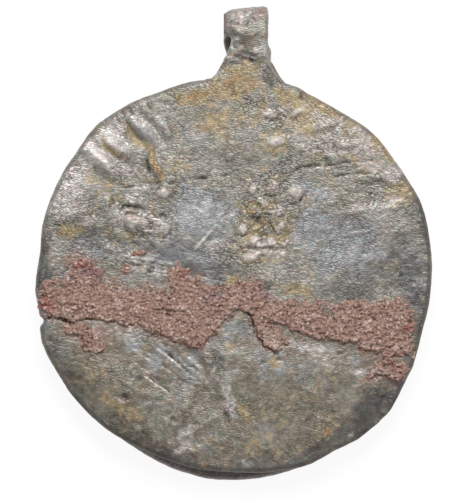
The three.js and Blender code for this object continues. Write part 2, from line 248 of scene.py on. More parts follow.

# Lumps and folds at the rivet, at the left and above, in the same way. They are painted pale on
# top, as chalk and a painted highlight, and dark between, as soil and painted shade.
LUMPS = (
    (5.9, 8.4, 1.1, 0.85, 10, 0.44),
    (3.9, 8.9, 1.0, 0.8, 30, 0.3),
    (1.9, 8.8, 0.9, 0.6, 0, 0.22),
    (2.9, 7.5, 0.9, 0.5, -20, 0.22),
    (4.2, 6.75, 1.3, 0.3, 5, 0.24),
    (0.9, 4.9, 0.9, 0.7, 40, 0.26),
    (2.0, 3.8, 0.9, 0.7, 0, 0.32),
    (3.6, 3.6, 0.9, 0.7, 20, 0.32),
    (4.7, 5.2, 1.0, 0.7, 60, 0.26),
    (1.6, 2.0, 1.2, 0.7, 10, 0.36),
    (3.2, 2.3, 0.9, 0.5, -10, 0.28),
    (0.2, 3.0, 0.8, 0.5, 40, 0.2),
    (4.9, 3.4, 0.6, 0.5, 0, 0.2),
    (6.0, 6.2, 1.3, 0.5, -20, -0.2),
    (2.2, 5.9, 1.6, 0.4, -35, -0.28),
    (4.6, 7.6, 1.8, 0.3, 5, -0.26),
    (2.8, 3.0, 1.8, 0.2, 5, -0.16),
    (-9.8, 5.5, 1.7, 0.9, -6, 0.36),
    (-7.0, 4.9, 1.2, 0.9, 60, 0.38),
    (-7.0, 8.5, 1.2, 0.6, -5, 0.32),
    (-9.9, 6.9, 1.9, 0.3, -8, -0.2),
    (4.2, 13.6, 1.6, 0.8, 15, 0.28),
    (3.4, 16.2, 1.2, 0.6, 12, 0.28),
    (6.1, 16.2, 1.1, 0.5, 10, 0.26),
    (8.9, 15.0, 1.6, 0.5, 20, 0.2),
    (11.2, 13.2, 1.8, 0.5, -14, 0.18),
)

# Scratches, creases and cracks: width, depth, and the places that they run through.
GROOVES = (
    (0.1, 0.2, ((5.6, 10.2), (6.3, 10.8), (7.1, 11.1), (8.4, 11.2), (10.0, 11.3), (11.9, 11.5))),
    (0.09, 0.08, ((11.7, 11.5), (13.4, 11.7), (15.1, 11.7))),
    (0.09, 0.15, ((9.6, 10.05), (11.9, 10.3), (13.9, 10.5))),
    (0.08, 0.06, ((10.8, 9.6), (13.2, 9.9), (15.6, 9.9))),
    (0.09, 0.1, ((12.6, 9.4), (14.0, 9.5), (15.3, 9.9))),
    (0.09, 0.1, ((12.9, 9.0), (14.4, 8.9), (15.4, 9.2))),
    (0.09, 0.08, ((11.2, 8.6), (13.0, 8.5), (14.6, 8.4))),
    (0.09, 0.2, ((-11.1, 8.9), (-9.3, 9.1), (-6.9, 9.4), (-3.4, 9.9), (0.2, 10.4))),
    (0.11, 0.18, (
        (-11.4, 5.0), (-11.2, 5.9), (-10.5, 6.5), (-9.5, 6.4), (-8.7, 5.9), (-8.1, 5.2),
        (-8.3, 4.6),
    )),
    (0.1, 0.14, ((-11.6, 7.0), (-10.6, 7.2), (-9.3, 6.9), (-8.2, 6.4))),
    (0.11, 0.18, ((-7.5, 6.2), (-7.0, 6.3), (-6.2, 5.6), (-6.0, 4.8), (-6.5, 4.0))),
    (0.11, 0.22, ((-7.9, 8.7), (-7.0, 9.15), (-6.2, 9.0), (-5.8, 8.3), (-6.2, 7.8))),
    (0.11, 0.2, ((-8.5, 12.1), (-8.6, 11.2), (-8.3, 10.2))),
    (0.11, 0.22, ((4.9, 7.9), (5.6, 7.5), (6.5, 7.5), (7.1, 8.1), (7.1, 8.8))),
    (0.1, 0.18, ((3.0, 8.2), (3.8, 8.0), (4.7, 8.4))),
    (0.1, 0.18, ((1.2, 3.1), (2.0, 2.9), (2.8, 3.1), (3.4, 2.9), (4.4, 3.2))),
    (0.1, 0.18, ((2.8, 4.3), (2.9, 3.4))),
    (0.1, 0.16, ((3.6, 5.9), (3.9, 4.8), (4.5, 4.3))),
    (0.1, 0.16, ((0.2, 4.2), (1.0, 4.2), (1.8, 4.6))),
    (0.1, 0.16, ((0.6, 1.5), (1.6, 1.3), (2.6, 1.6), (3.4, 1.8))),
    (0.1, 0.14, ((2.4, 15.9), (3.3, 15.6), (4.5, 15.7))),
    (0.1, 0.14, ((5.2, 15.8), (6.0, 15.6), (6.9, 15.8))),
    (0.1, 0.12, ((3.4, 13.1), (4.2, 12.9), (5.0, 13.1))),
    (0.1, 0.14, ((-12.1, 8.6), (-12.0, 7.6), (-12.4, 6.8))),
    (0.1, 0.14, ((-11.2, 2.5), (-9.6, 2.4), (-8.0, 2.1), (-6.9, 1.6))),
    (0.1, 0.13, ((-11.0, 2.0), (-9.4, 1.8), (-7.8, 1.5), (-6.4, 1.1))),
    (0.1, 0.14, ((-10.8, 1.5), (-9.2, 1.35), (-7.4, 0.95), (-6.2, 0.7))),
    (0.1, 0.12, ((-10.4, 1.0), (-9.0, 0.9), (-7.6, 0.5), (-6.4, 0.3))),
    (0.1, 0.08, ((-18.8, 6.4), (-16.9, 6.1), (-14.6, 6.3))),
    (0.1, 0.08, ((-18.4, 5.5), (-16.4, 5.2))),
    (0.09, 0.16, ((-7.3, -7.0), (-5.4, -8.5), (-3.5, -10.2))),
    (0.09, 0.13, ((-8.1, -7.6), (-6.2, -9.2), (-4.6, -10.6))),
    (0.09, 0.16, ((-8.9, -9.5), (-7.6, -10.4), (-6.2, -11.4))),
    (0.09, 0.13, ((-9.9, -8.2), (-8.2, -9.6), (-6.9, -10.5))),
    (0.09, 0.12, ((-6.1, -7.0), (-4.4, -8.6), (-3.2, -9.4))),
    (0.08, 0.1, ((8.5, -14.0), (9.4, -13.6), (10.2, -13.3))),
    (0.08, 0.1, ((9.1, -14.5), (10.3, -14.1))),
    (0.09, 0.1, ((12.0, 1.9), (12.1, 1.2), (12.5, 0.1))),
    (0.16, 0.50, ((-18.9, -4.2), (-18.1, -3.9), (-17.3, -3.95), (-16.6, -4.3), (-15.6, -4.2))),
    (0.12, 0.34, ((-15.4, -4.05), (-14.8, -3.9), (-13.2, -4.1), (-11.5, -4.4))),
    (0.12, 0.36, ((-10.8, -4.3), (-9.9, -4.15), (-9.3, -4.4))),
    (0.1, 0.34, (
        (-0.8, -2.75), (0.5, -2.85), (1.3, -3.1), (1.7, -3.9), (2.3, -5.6), (3.2, -6.7),
        (4.4, -7.7),
    )),
    (0.1, 0.12, ((2.4, -8.4), (3.9, -8.0), (5.2, -8.2))),
)

# Rubbed scratches, which are pale: width, rise, and the places that they run through.
PALE_SCRATCHES = (
    (0.12, 0.06, ((-4.0, 2.7), (-3.0, 3.8), (-2.0, 4.9))),
    (0.1, 0.04, ((-3.1, 2.6), (-2.2, 3.5), (-1.4, 4.1))),
    (0.09, 0.04, ((11.4, 4.5), (13.6, 4.6))),
    (0.1, 0.05, ((-7.8, -6.9), (-6.3, -8.0), (-4.9, -9.1))),
    (0.1, 0.04, ((-4.8, -9.2), (-4.2, -9.6), (-3.5, -10.1))),
    (0.1, 0.05, ((-8.9, -9.7), (-7.6, -10.5), (-6.4, -11.4))),
    (0.09, 0.03, ((-5.6, -6.8), (-4.0, -8.2), (-2.8, -9.6))),
    (0.09, 0.03, ((-10.6, -7.8), (-9.0, -9.0), (-7.4, -10.2))),
    (0.09, 0.03, ((-10.2, -6.9), (-8.2, -8.4))),
    (0.09, 0.03, ((5.8, 10.0), (8.4, 10.95), (11.9, 11.25))),
)

# Edges of flaked skin: rise, reach, and the places that the edge runs through.
# The skin is raised on the left of the way that they run, and falls back over the reach.
SCARPS = (
    (0.08, 1.6, ((-7.2, 1.1), (-8.6, 0.8), (-10.2, 1.2), (-11.6, 1.0))),
    (0.08, 1.4, ((-7.6, 2.4), (-9.4, 2.1), (-11.2, 2.4))),
    (0.14, 1.6, ((-6.2, 3.7), (-8.0, 3.9), (-9.8, 4.0), (-12.0, 5.0))),
    (0.12, 1.8, ((-5.6, 5.6), (-7.4, 5.9), (-9.4, 5.8))),
    (0.10, 1.6, ((-6.0, 9.4), (-8.2, 9.2), (-10.4, 8.9))),
    (0.14, 1.4, ((17.3, 7.2), (15.6, 7.1), (13.6, 6.5), (11.6, 5.9))),
    (0.10, 1.4, ((17.0, 9.0), (15.0, 8.7), (13.2, 8.8))),
    (0.10, 1.4, ((9.8, 15.6), (7.6, 14.6), (5.6, 14.2))),
    (0.12, 1.2, ((6.9, 15.8), (6.0, 15.7), (5.2, 16.0))),
    (0.12, 1.2, ((4.3, 15.7), (3.3, 15.6), (2.4, 16.0))),
    (0.10, 1.6, ((-1.2, -4.6), (-2.0, -5.2), (-2.6, -6.4), (-3.6, -7.2))),
    (0.08, 2.0, ((-12.0, -9.6), (-9.0, -11.8), (-6.4, -12.2))),
)

# Bulges and notches of the front disc's edge: x, y, half length, half width, turn, reach.
RIM_LUMPS = (
    (-1.4, 21.3, 0.6, 0.5, 90, 0.24),
    (-1.7, 20.7, 0.35, 0.3, 0, -0.12),
    (-2.1, 20.1, 0.5, 0.5, 0, 0.2),
    (-3.0, 19.5, 0.5, 0.4, 0, -0.12),
    (6.4, 18.8, 0.6, 0.5, 0, 0.12),
    (10.1, 17.1, 0.5, 0.6, 0, 0.2),
    (10.7, 16.5, 0.4, 0.4, 0, -0.12),
)

# Pits: x, y, radius, depth.
PITS = (
    (-10.9, -11.8, 0.45, 0.26),
    (1.7, 21.7, 0.22, 0.3),
    (-0.9, 21.4, 0.24, 0.3),
    (-1.5, 20.9, 0.2, 0.26),
    (-1.9, 20.0, 0.24, 0.3),
    (-2.2, 19.4, 0.22, 0.26),
    (-0.8, 20.5, 0.18, 0.2),
    (-1.4, 19.6, 0.2, 0.2),
    (9.6, 17.0, 0.2, 0.2),
    (10.4, 16.7, 0.2, 0.2),
    (16.2, 0.7, 0.3, 0.16),
    (16.6, 0.2, 0.25, 0.16),
    (9.0, 6.4, 0.22, 0.12),
    (-5.9, -14.0, 0.3, 0.16),
    (10.5, -7.6, 0.25, 0.12),
    (12.9, 2.4, 0.22, 0.14),
    (6.9, 17.9, 0.35, 0.18),
    (17.6, -0.4, 0.3, 0.12),
    (-16.9, -0.9, 0.3, 0.14),
)

# Patches of rougher skin: x, y, half length, half width, turn, how much rougher.
ROUGH_PATCHES = (
    (-8.6, 5.0, 4.6, 2.8, -10, 0.75),
    (-9.4, 1.4, 4.2, 1.6, -5, 1.2),
    (-17.0, 5.6, 3.0, 1.2, 0, 0.8),
    (3.4, 5.8, 5.2, 5.4, 0, 0.9),
    (3.6, 9.4, 4.0, 2.0, 0, 1.2),
    (14.0, 9.0, 4.6, 3.0, -8, 1.0),
    (4.6, 16.4, 4.6, 2.2, -5, 1.1),
    (8.6, 13.0, 4.0, 2.0, -15, 0.7),
    (-11.0, 16.4, 3.6, 1.2, 35, 0.8),
    (-1.4, 20.3, 2.2, 1.4, 30, 2.0),
    (-1.8, -8.2, 2.4, 1.2, -65, 1.8),
    (-0.6, -12.6, 2.6, 0.8, -70, 1.0),
    (-9.6, -5.6, 2.0, 0.9, -10, 1.2),
    (15.0, -11.4, 2.0, 1.4, -40, 1.2),
    (1.4, 21.0, 2.4, 1.4, 0, 0.9),
    (-5.0, -15.0, 2.8, 2.8, 0, 0.9),
    (-17.4, 0.4, 3.0, 1.4, 0, 0.9),
    (5.0, -0.6, 5.4, 1.2, -5, 0.8),
    (-8.2, -4.9, 4.0, 1.4, 0, 0.7),
    (15.4, -11.0, 2.6, 3.0, -30, 0.5),
)

# Places where the skin stayed smooth, in the same way.
SMOOTH_PATCHES = (
    (11.6, 3.0, 7.8, 4.8, -12, 0.35),
    (-3.4, 6.4, 4.6, 3.8, 0, 0.35),
    (-2.6, 1.2, 5.0, 2.6, -15, 0.3),
    (-11.6, 13.6, 3.0, 1.0, -38, 0.3),
    (-12.7, 11.9, 3.4, 1.0, -35, 0.3),
    (-16.2, 8.6, 3.0, 1.8, 40, 0.2),
    (-12.0, -11.6, 5.4, 4.0, -45, 0.35),
    (-1.0, -10.0, 9.0, 6.0, 0, 0.15),
    (9.0, -9.0, 7.0, 5.0, 0, 0.15),
)

# How each colour of the patina breaks up: size of its blotches, softness of their edges, strongest.
BLOTCHES = {
    "slate": (1.6, 0.7, 0.9),
    "brown": (1.6, 0.7, 1.0),
    "dark_slate_and_shade": (1.8, 1.1, 0.9),
    "ochre": (0.9, 0.7, 1.0),
    "orange": (0.9, 0.7, 0.8),
    "stain": (0.8, 0.7, 0.7),
    "soil": (0.9, 0.7, 0.6),
    "pale": (0.7, 0.7, 0.8),
}

# Colours of the patina on the front: x, y, half length, half width, turn, strength.
PATINA = {
    "slate": (
        (11.4, 3.4, 7.4, 5.4, -12, 1.1),
        (-3.4, 6.4, 5.2, 4.4, 0, 1.4),
        (-4.0, 13.4, 3.4, 2.2, -30, 0.7),
        (-10.2, -6.4, 3.4, 1.2, -10, 0.8),
        (-6.8, -9.0, 5.4, 2.2, -38, 0.8),
        (-4.4, 1.4, 7.4, 2.6, -22, 1.1),
        (-9.0, 14.9, 2.4, 1.2, -38, 0.9),
        (-14.8, 2.8, 4.6, 2.2, -5, 0.8),
        (-13.0, 8.8, 3.4, 1.4, -10, 0.6),
        (4.0, -8.8, 6.0, 3.0, -10, 1.0),
        (7.6, 5.4, 2.6, 2.4, 0, 1.0),
        (-4.8, -7.8, 5.4, 2.8, -35, 1.0),
        (-12.0, -8.0, 4.0, 1.6, -30, 0.6),
        (0.4, -5.4, 2.4, 2.0, 0, 0.9),
        (6.9, 9.2, 3.2, 1.6, -20, 0.8),
        (6.4, 17.0, 3.0, 1.2, -20, 0.6),
        (1.0, -14.8, 5.0, 2.4, 0, 0.5),
        (16.4, -11.8, 2.4, 4.4, -40, 0.9),
        (0.2, 23.6, 1.4, 1.4, 0, 0.8),
        (-4.2, 0.6, 2.2, 1.0, -10, 0.9),
        (8.4, 8.1, 2.2, 1.2, 0, 0.7),
        (-18.6, -3.2, 1.4, 4.4, 0, 0.9),
        (17.6, -1.0, 2.2, 5.4, 0, 0.8),
        (12.8, -8.2, 4.4, 1.8, 0, 0.6),
        (4.8, 11.8, 2.8, 1.4, 0, 0.6),
        (-9.0, -15.0, 4.0, 1.6, -40, 0.4),
    ),
    "brown": (
        (-14.0, -12.0, 6.4, 3.8, -48, 0.9),
        (-5.0, -18.0, 6.4, 2.0, -12, 0.8),
        (8.0, -16.8, 7.4, 2.4, 25, 0.8),
        (13.6, -9.6, 3.6, 3.6, 0, 0.5),
        (-12.6, -8.4, 4.8, 2.8, -20, 0.7),
        (-6.6, 8.6, 3.2, 1.0, 5, 0.5),
        (2.8, 5.2, 4.4, 3.8, 0, 0.5),
        (-1.6, 15.4, 5.4, 3.2, 0, 0.7),
        (5.0, -12.6, 5.8, 3.0, 0, 0.5),
        (-17.4, 1.6, 2.0, 1.8, 0, 0.6),
        (1.6, 12.6, 2.6, 1.6, 30, 0.5),
        (1.3, 21.2, 2.8, 2.4, 0, 1.2),
    ),
    # Dark slate, and painted shade on the slope under the left lumps, the lower right and the rims.
    "dark_slate_and_shade": (
        (-5.6, 1.5, 8.4, 2.2, -24, 0.75),
        (-0.8, 0.6, 3.4, 2.4, -20, 0.7),
        (-12.6, 3.7, 5.0, 1.5, -14, 0.9),
        (0.6, 21.6, 2.4, 1.6, 0, 0.6),
        (-1.0, 17.4, 4.4, 1.6, 0, 0.5),
        (0.6, 12.0, 3.0, 2.4, 0, 0.4),
        (13.4, -13.4, 3.8, 2.6, 45, 1.5),
        (10.6, -15.4, 2.0, 1.2, 30, 0.7),
        (16.6, -9.4, 1.0, 2.4, -30, 0.9),
        (-17.8, -6.6, 1.8, 4.0, 20, 0.9),
        (-8.0, -17.4, 5.4, 0.9, -36, 0.8),
        (8.0, -17.2, 5.0, 1.0, 30, 0.7),
        (-1.4, -8.6, 2.0, 2.4, 0, 0.7),
        (8.6, -9.4, 3.6, 2.4, 0, 0.45),
        (16.0, 3.0, 2.6, 2.4, 0, 0.8),
        (-16.0, -11.2, 3.4, 1.0, -55, 0.7),
        (14.6, 0.6, 5.0, 2.4, 0, 1.0),
        (11.0, -1.3, 5.4, 1.5, -2, 1.1),
        (-9.0, 1.0, 4.0, 1.6, -8, 0.8),
        (3.6, -0.9, 1.2, 0.5, 0, 1.2),
        (0.9, 22.6, 3.0, 2.4, 0, 0.6),
        (-18.8, 1.2, 1.1, 5.6, 0, 1.3),
        (-10.6, -9.6, 3.0, 1.6, -30, 0.5),
        (-6.0, -18.2, 4.0, 1.2, -15, 0.6),
        (17.6, -3.0, 1.6, 5.4, 8, 0.7),
        (-10.6, 10.4, 1.6, 0.7, -35, 0.5),
        (-8.7, 12.6, 1.6, 0.4, -70, 0.8),
        (2.6, 22.0, 1.8, 0.8, 0, 0.5),
        (1.4, -3.6, 1.2, 1.2, 0, 0.5),
    ),
    "ochre": (
        (0.0, 15.8, 8.0, 4.8, 0, 0.28),
        (-2.0, 15.8, 2.6, 1.6, 10, 0.25),
        (0.4, 18.9, 3.6, 1.2, 10, 1.0),
        (6.2, 17.4, 3.6, 1.5, -30, 0.8),
        (14.4, 13.0, 3.0, 1.6, -45, 0.7),
        (9.2, 15.0, 5.4, 3.2, -28, 1.2),
        (14.2, 11.9, 3.8, 1.9, -25, 0.9),
        (11.6, 12.9, 3.6, 1.4, -20, 1.5),
        (-0.8, 20.0, 2.4, 1.2, 30, 0.6),
        (-10.5, -13.5, 5.0, 2.4, -45, 0.4),
        (3.4, 3.2, 2.2, 1.4, 0, 0.7),
        (16.4, 8.6, 2.0, 3.0, -20, 0.5),
        (-4.8, 11.6, 3.0, 1.8, -20, 0.3),
        (-12.4, 13.1, 2.6, 0.7, -50, 1.0),
        (-9.6, 14.1, 2.2, 0.7, -48, 1.0),
        (-14.6, 15.0, 2.2, 0.8, 38, 0.9),
        (-7.9, 11.6, 2.6, 0.7, -72, 1.2),
        (-12.8, 9.4, 3.4, 2.0, -20, 0.5),
        (-9.6, 6.2, 2.9, 1.2, -6, 0.7),
        (-6.9, 4.7, 1.7, 1.1, 15, 0.9),
        (-16.6, 4.6, 3.0, 1.8, 10, 0.65),
        (-10.6, 4.3, 3.0, 0.6, -15, 0.5),
        (3.4, 5.6, 4.4, 5.0, 20, 0.5),
        (2.2, 2.9, 2.8, 2.0, 0, 1.6),
        (8.3, 13.2, 2.8, 1.4, -10, 0.7),
        (4.3, 13.4, 2.1, 1.1, 15, 0.55),
        (5.8, 15.6, 2.0, 1.0, 0, 0.6),
        (6.6, -1.3, 3.0, 1.2, -8, 0.8),
        (0.2, -0.3, 2.4, 0.9, 0, 0.6),
        (1.4, 20.6, 2.6, 1.8, 60, 0.8),
        (1.8, 23.8, 1.5, 1.5, 0, 0.6),
        (-3.8, 18.1, 3.0, 1.1, 5, 0.9),
        (0.9, -13.2, 2.3, 0.8, -57, 0.8),
        (3.6, -7.9, 2.2, 1.0, -20, 0.8),
        (-12.4, -12.2, 2.4, 1.2, -20, 0.55),
        (-14.4, -9.6, 2.4, 1.0, -60, 0.4),
        (3.4, -16.2, 6.4, 2.6, 5, 0.4),
        (9.6, -14.4, 2.8, 1.8, 35, 0.4),
        (8.8, -9.8, 4.6, 2.8, 0, 0.3),
        (-1.4, -5.8, 2.4, 1.9, 0, 0.4),
        (4.6, -12.2, 3.4, 2.4, 0, 0.3),
    ),
    "orange": (
        (-3.6, 18.1, 2.0, 0.7, 2, 1.2),
        (-0.3, 19.4, 2.2, 0.7, 35, 0.9),
        (-3.0, 15.0, 1.4, 1.0, 0, 0.6),
        (-8.0, 11.0, 1.4, 0.5, -70, 0.9),
        (1.2, 18.9, 2.0, 0.7, 30, 0.6),
        (1.5, 1.7, 1.0, 0.6, 0, 0.8),
        (2.9, 7.2, 1.2, 0.5, -10, 0.6),
        (-17.2, 4.7, 1.0, 0.8, 0, 0.8),
        (-9.8, 5.8, 1.2, 0.4, -6, 0.6),
        (9.3, -15.3, 0.9, 0.9, 0, 0.6),
        (2.1, 22.9, 0.8, 0.5, 0, 0.4),
    ),
    "stain": (
        (1.5, 25.8, 3.0, 1.9, 0, 0.75),
        (3.1, 26.3, 0.8, 0.6, 0, 1.2),
        (-13.6, -5.2, 4.4, 2.0, -15, 0.45),
        (-7.6, -4.8, 3.0, 1.0, 0, 0.5),
        (14.8, -9.0, 3.4, 2.4, 0, 0.5),
        (4.6, -6.2, 2.2, 1.4, -40, 0.5),
        (-15.6, 1.6, 3.4, 1.6, 0, 0.4),
        (3.0, -0.2, 3.6, 0.9, 0, 0.45),
        (-18.4, -2.4, 1.0, 2.4, 0, 0.6),
        (-10.9, -12.0, 0.7, 0.5, 0, 0.9),
    ),
    "soil": (
        (-9.4, -15.8, 6.6, 2.4, -40, 0.9),
        (-15.6, -10.6, 3.6, 1.2, -60, 0.5),
        (1.4, 22.2, 2.4, 0.6, 0, 0.8),
        (-0.6, 25.6, 0.7, 1.2, 0, 0.6),
        (0.9, 23.9, 1.2, 0.5, 0, 0.6),
        (0.2, 20.6, 1.8, 0.7, 30, 0.5),
        (3.4, 20.0, 0.9, 2.2, 30, 0.6),
        (-11.8, 3.2, 4.6, 0.8, -14, 0.5),
        (14.4, 0.6, 4.6, 1.6, 0, 0.35),
        (11.4, -1.4, 4.6, 0.7, -3, 0.5),
        (-18.9, 2.4, 0.8, 3.6, 0, 0.6),
        (-1.6, 8.1, 1.9, 1.4, 30, 0.9),
        (-16.6, 8.2, 2.0, 1.6, 0, 0.6),
        (-9.2, -16.8, 2.6, 1.2, -24, 1.0),
        (-9.2, -9.4, 2.4, 1.2, -30, 0.5),
        (3.3, 12.7, 1.7, 0.8, 0, 0.6),
        (3.4, -17.0, 3.0, 1.2, 4, 0.5),
        (18.2, -1.9, 1.2, 2.2, 0, 0.6),
        (-4.1, 13.0, 1.8, 1.4, 0, 0.6),
        (8.3, 8.2, 2.0, 1.2, 0, 0.4),
        (-0.4, 24.9, 1.2, 2.4, 0, 1.6),
        (1.6, 22.8, 2.6, 1.5, 0, 0.75),
        (1.9, 23.9, 2.4, 0.9, 0, 0.9),
        (13.2, -14.2, 3.2, 1.8, 45, 0.6),
        (-4.2, -17.0, 2.8, 1.2, -10, 0.5),
        (8.4, -16.6, 3.8, 1.4, 30, 0.5),
    ),
    # Chalk, and painted highlights on the ridges, swells, lumps and the upper right that face the
    # lamp.
    "pale": (
        (-11.5, 13.5, 2.7, 0.9, -36, 1.5),
        (-12.5, 11.7, 3.3, 1.0, -41, 1.5),
        (-16.4, 7.6, 4.0, 2.8, 50, 0.9),
        (-9.7, 5.4, 1.5, 0.8, -4, 0.9),
        (-7.0, 4.9, 1.1, 0.8, 60, 0.9),
        (-7.0, 8.5, 1.0, 0.5, 0, 0.8),
        (-9.2, 5.8, 4.6, 1.6, -16, 0.6),
        (-7.4, 15.1, 2.0, 0.5, -46, 0.7),
        (-9.6, 17.0, 2.8, 0.7, 30, 0.6),
        (13.6, 6.8, 3.8, 1.0, 8, 0.75),
        (15.6, 7.6, 2.2, 0.6, 0, 0.7),
        (10.0, 14.8, 5.0, 2.8, -28, 0.9),
        (14.0, 11.2, 3.4, 1.6, -14, 0.7),
        (5.9, 8.6, 1.2, 0.8, 8, 1.0),
        (4.0, 6.8, 1.4, 0.4, 5, 0.9),
        (3.9, 9.0, 1.0, 0.7, 30, 0.6),
        (1.6, 2.1, 1.2, 0.7, 10, 0.9),
        (3.2, 0.1, 1.8, 0.4, 0, 1.0),
        (-0.4, -12.2, 3.4, 1.0, -68, 0.9),
        (-4.4, -15.4, 2.6, 1.2, 50, 0.8),
        (-4.9, -17.0, 1.4, 0.6, 20, 0.8),
        (-8.4, -4.9, 2.4, 0.8, 0, 0.9),
        (6.2, -6.7, 3.8, 1.1, -8, 1.1),
        (-2.2, -8.8, 2.8, 0.8, -65, 0.4),
        (-1.7, 20.2, 1.2, 0.7, 50, 0.8),
        (-17.8, 1.2, 2.0, 0.6, -10, 0.7),
        (2.6, 2.8, 3.2, 1.7, 0, 1.3),
        (-1.2, 3.4, 2.2, 0.9, 0, 0.6),
        (8.4, 13.2, 4.6, 1.6, -8, 1.0),
        (13.4, 12.6, 3.4, 2.0, -35, 0.6),
        (-14.2, 12.2, 3.2, 2.0, 50, 0.9),
        (-9.4, 8.6, 3.6, 1.2, -5, 0.6),
        (-9.2, 5.8, 3.0, 1.4, -16, 0.9),
        (15.8, 10.4, 2.0, 1.4, -40, 0.9),
        (-12.0, 14.8, 3.0, 1.4, 35, 0.6),
        (-11.6, -11.4, 2.0, 1.4, 0, 0.4),
        (-11.6, 6.2, 1.4, 1.2, 0, 0.7),
        (-11.6, 15.4, 2.4, 1.0, 38, 0.9),
        (-14.0, 5.8, 1.8, 1.2, 0, 0.7),
        (-11.6, 10.5, 1.8, 1.1, 0, 0.8),
        (-1.7, 3.2, 1.8, 1.2, 0, 0.6),
        (3.6, 3.4, 2.2, 1.3, 0, 0.5),
        (-10.8, 10.9, 2.4, 1.0, -35, 0.8),
        (10.6, 12.9, 3.4, 1.4, -15, 0.8),
        (-16.4, 10.4, 1.6, 2.2, -30, 0.9),
        (-9.0, 10.6, 2.4, 1.0, -30, 0.7),
        (-9.1, 5.4, 2.6, 1.2, -10, 1.0),
        (-9.4, 15.6, 2.6, 1.0, -42, 0.9),
        (13.0, -9.2, 2.2, 0.8, 5, 0.8),
        (-10.0, -5.6, 1.8, 0.8, -10, 0.9),
        (-0.2, 23.3, 1.1, 0.25, 82, 1.1),
        (-5.4, -8.6, 4.0, 1.4, -38, 0.2),
        (4.6, 2.6, 1.8, 0.9, 0, 0.6),
        (3.6, 16.5, 1.4, 0.6, 10, 0.9),
        (6.2, 16.5, 1.1, 0.5, 10, 0.9),
        (8.8, 15.2, 1.8, 0.6, 20, 0.9),
    ),
}

# Dents and lumps of the strip's front leg and crest: x, y, half length, half width, turn, rise.
STRIP_DENTS = (
    (0.45, 24.05, 0.55, 0.4, 0, -0.28),
    (0.85, 23.2, 0.4, 0.18, 0, -0.26),
    (2.4, 24.1, 0.6, 0.3, 20, -0.14),
    (1.2, 25.3, 0.5, 0.3, 60, 0.12),
    (0.2, 25.4, 0.5, 0.35, 0, 0.12),
    (2.4, 25.9, 0.9, 0.5, 10, 0.1),
    (1.7, 21.9, 0.3, 0.35, 0, -0.15),
)

# Painted shadow that darkens the eye, in the same way.
EYE_SHADOW = (-0.65, 23.4, 0.9, 0.6, 90, 1.8)

# The smoother piece of crust beside the long crack, in the same way.
SMOOTH_CRUST = (3.5, -5.7, 2.6, 1.1, -52, 0.75)

# Places where the crust has another colour: x, y, half length, half width, turn, strength.
CRUST_PATCHES = {
    "red": (
        (-18.6, -2.6, 1.4, 1.1, 0, 0.9),
        (17.3, -4.8, 0.9, 0.6, 0, 1.0),
        (15.7, -8.7, 1.4, 0.6, 10, 0.7),
        (-14.8, 1.3, 2.2, 0.9, -10, 0.7),
        (-10.8, 1.1, 0.8, 0.6, 0, 0.8),
        (-9.6, 2.4, 0.9, 0.6, 0, 0.8),
        (-4.8, 0.2, 1.4, 1.2, 0, 0.4),
    ),
    "purple": (
        (-2.2, -1.7, 1.8, 0.8, 10, 0.8),
        (-14.0, 0.6, 2.4, 0.8, 0, 0.5),
        (3.4, -1.4, 1.8, 0.8, 0, 0.7),
        (8.0, -5.0, 2.4, 0.6, -10, 0.4),
    ),
    "pink": (
        (3.6, -6.0, 2.3, 0.9, -52, 0.8),
        (4.6, -7.0, 1.2, 0.8, -30, 0.9),
        (-0.8, -3.6, 2.6, 0.6, 28, 0.7),
        (14.4, -9.4, 1.6, 0.5, 5, 0.9),
        (-16.0, -4.0, 2.0, 0.3, -3, 0.5),
        (9.5, -6.3, 3.6, 0.35, -3, 0.5),
    ),
}

# Gaps in the crust where the lead shows, and, with a minus, places where it grew out.
CRUST_GAPS = (
    (-13.2, -6.6, 1.1, 0.5, 0, -0.4),
    (-16.6, -5.5, 0.9, 0.6, -40, -0.35),
    (-10.4, -5.6, 1.9, 1.1, -20, 1.6),
    (15.2, -8.35, 2.0, 0.5, 0, -0.4),
    (-15.6, -4.95, 1.9, 0.6, -8, -0.5),
    (-13.6, -6.6, 1.2, 0.6, -10, -0.4),
    (-6.3, -1.25, 1.0, 0.5, 8, 1.0),
    (3.2, -0.9, 0.7, 0.35, 0, 0.9),
    (-14.0, 0.3, 1.0, 0.35, 0, 0.9),
    (-15.6, 0.1, 0.7, 0.3, 20, 0.8),
    (-16.2, 1.3, 0.5, 0.3, 40, 0.8),
    (-12.9, -0.3, 0.9, 0.3, 0, 0.8),
    (-17.4, -0.9, 0.6, 0.25, 0, 0.7),
    (8.9, -3.0, 0.4, 0.5, 20, 0.8),
    (6.6, -1.7, 0.9, 0.2, 0, 0.6),
)

# Cracks in the crust: width, depth, and the places that they run through.
CRUST_CRACKS = (
    (0.09, 0.26, ((1.2, -3.0), (1.6, -3.9), (2.3, -5.6), (3.1, -6.7), (4.3, -7.6))),
    (0.12, 0.22, ((8.7, -2.9), (9.5, -3.6), (10.2, -4.3))),
    (0.12, 0.16, ((-8.4, -3.3), (-7.0, -3.0), (-5.8, -3.4), (-4.6, -3.2))),
    (0.08, 0.14, ((2.2, -4.3), (3.3, -4.45), (4.4, -4.7), (5.6, -5.1))),
)


# Shape tools


@functools.cache
def lattice(seed):
    """A square of random numbers between -1 and 1, the same for each seed."""
    return np.random.default_rng(seed).uniform(-1.0, 1.0, (128, 128))


def eased(share):
    """Moves smoothly from 0 to 1 as the share goes from 0 to 1."""
    t = np.clip(share, 0.0, 1.0)
    return t * t * (3.0 - 2.0 * t)


def even_noise(x, y, seed):
    """Smooth noise whose lumps are one unit across."""
    table = lattice(seed)
    size = len(table)
    column, row = np.floor(x).astype(int), np.floor(y).astype(int)
    right, up = eased(x - column), eased(y - row)

    def corner(dx, dy):
        return table[(row + dy) % size, (column + dx) % size]

    low = corner(0, 0) * (1 - right) + corner(1, 0) * right
    high = corner(0, 1) * (1 - right) + corner(1, 1) * right
    return low * (1 - up) + high * up


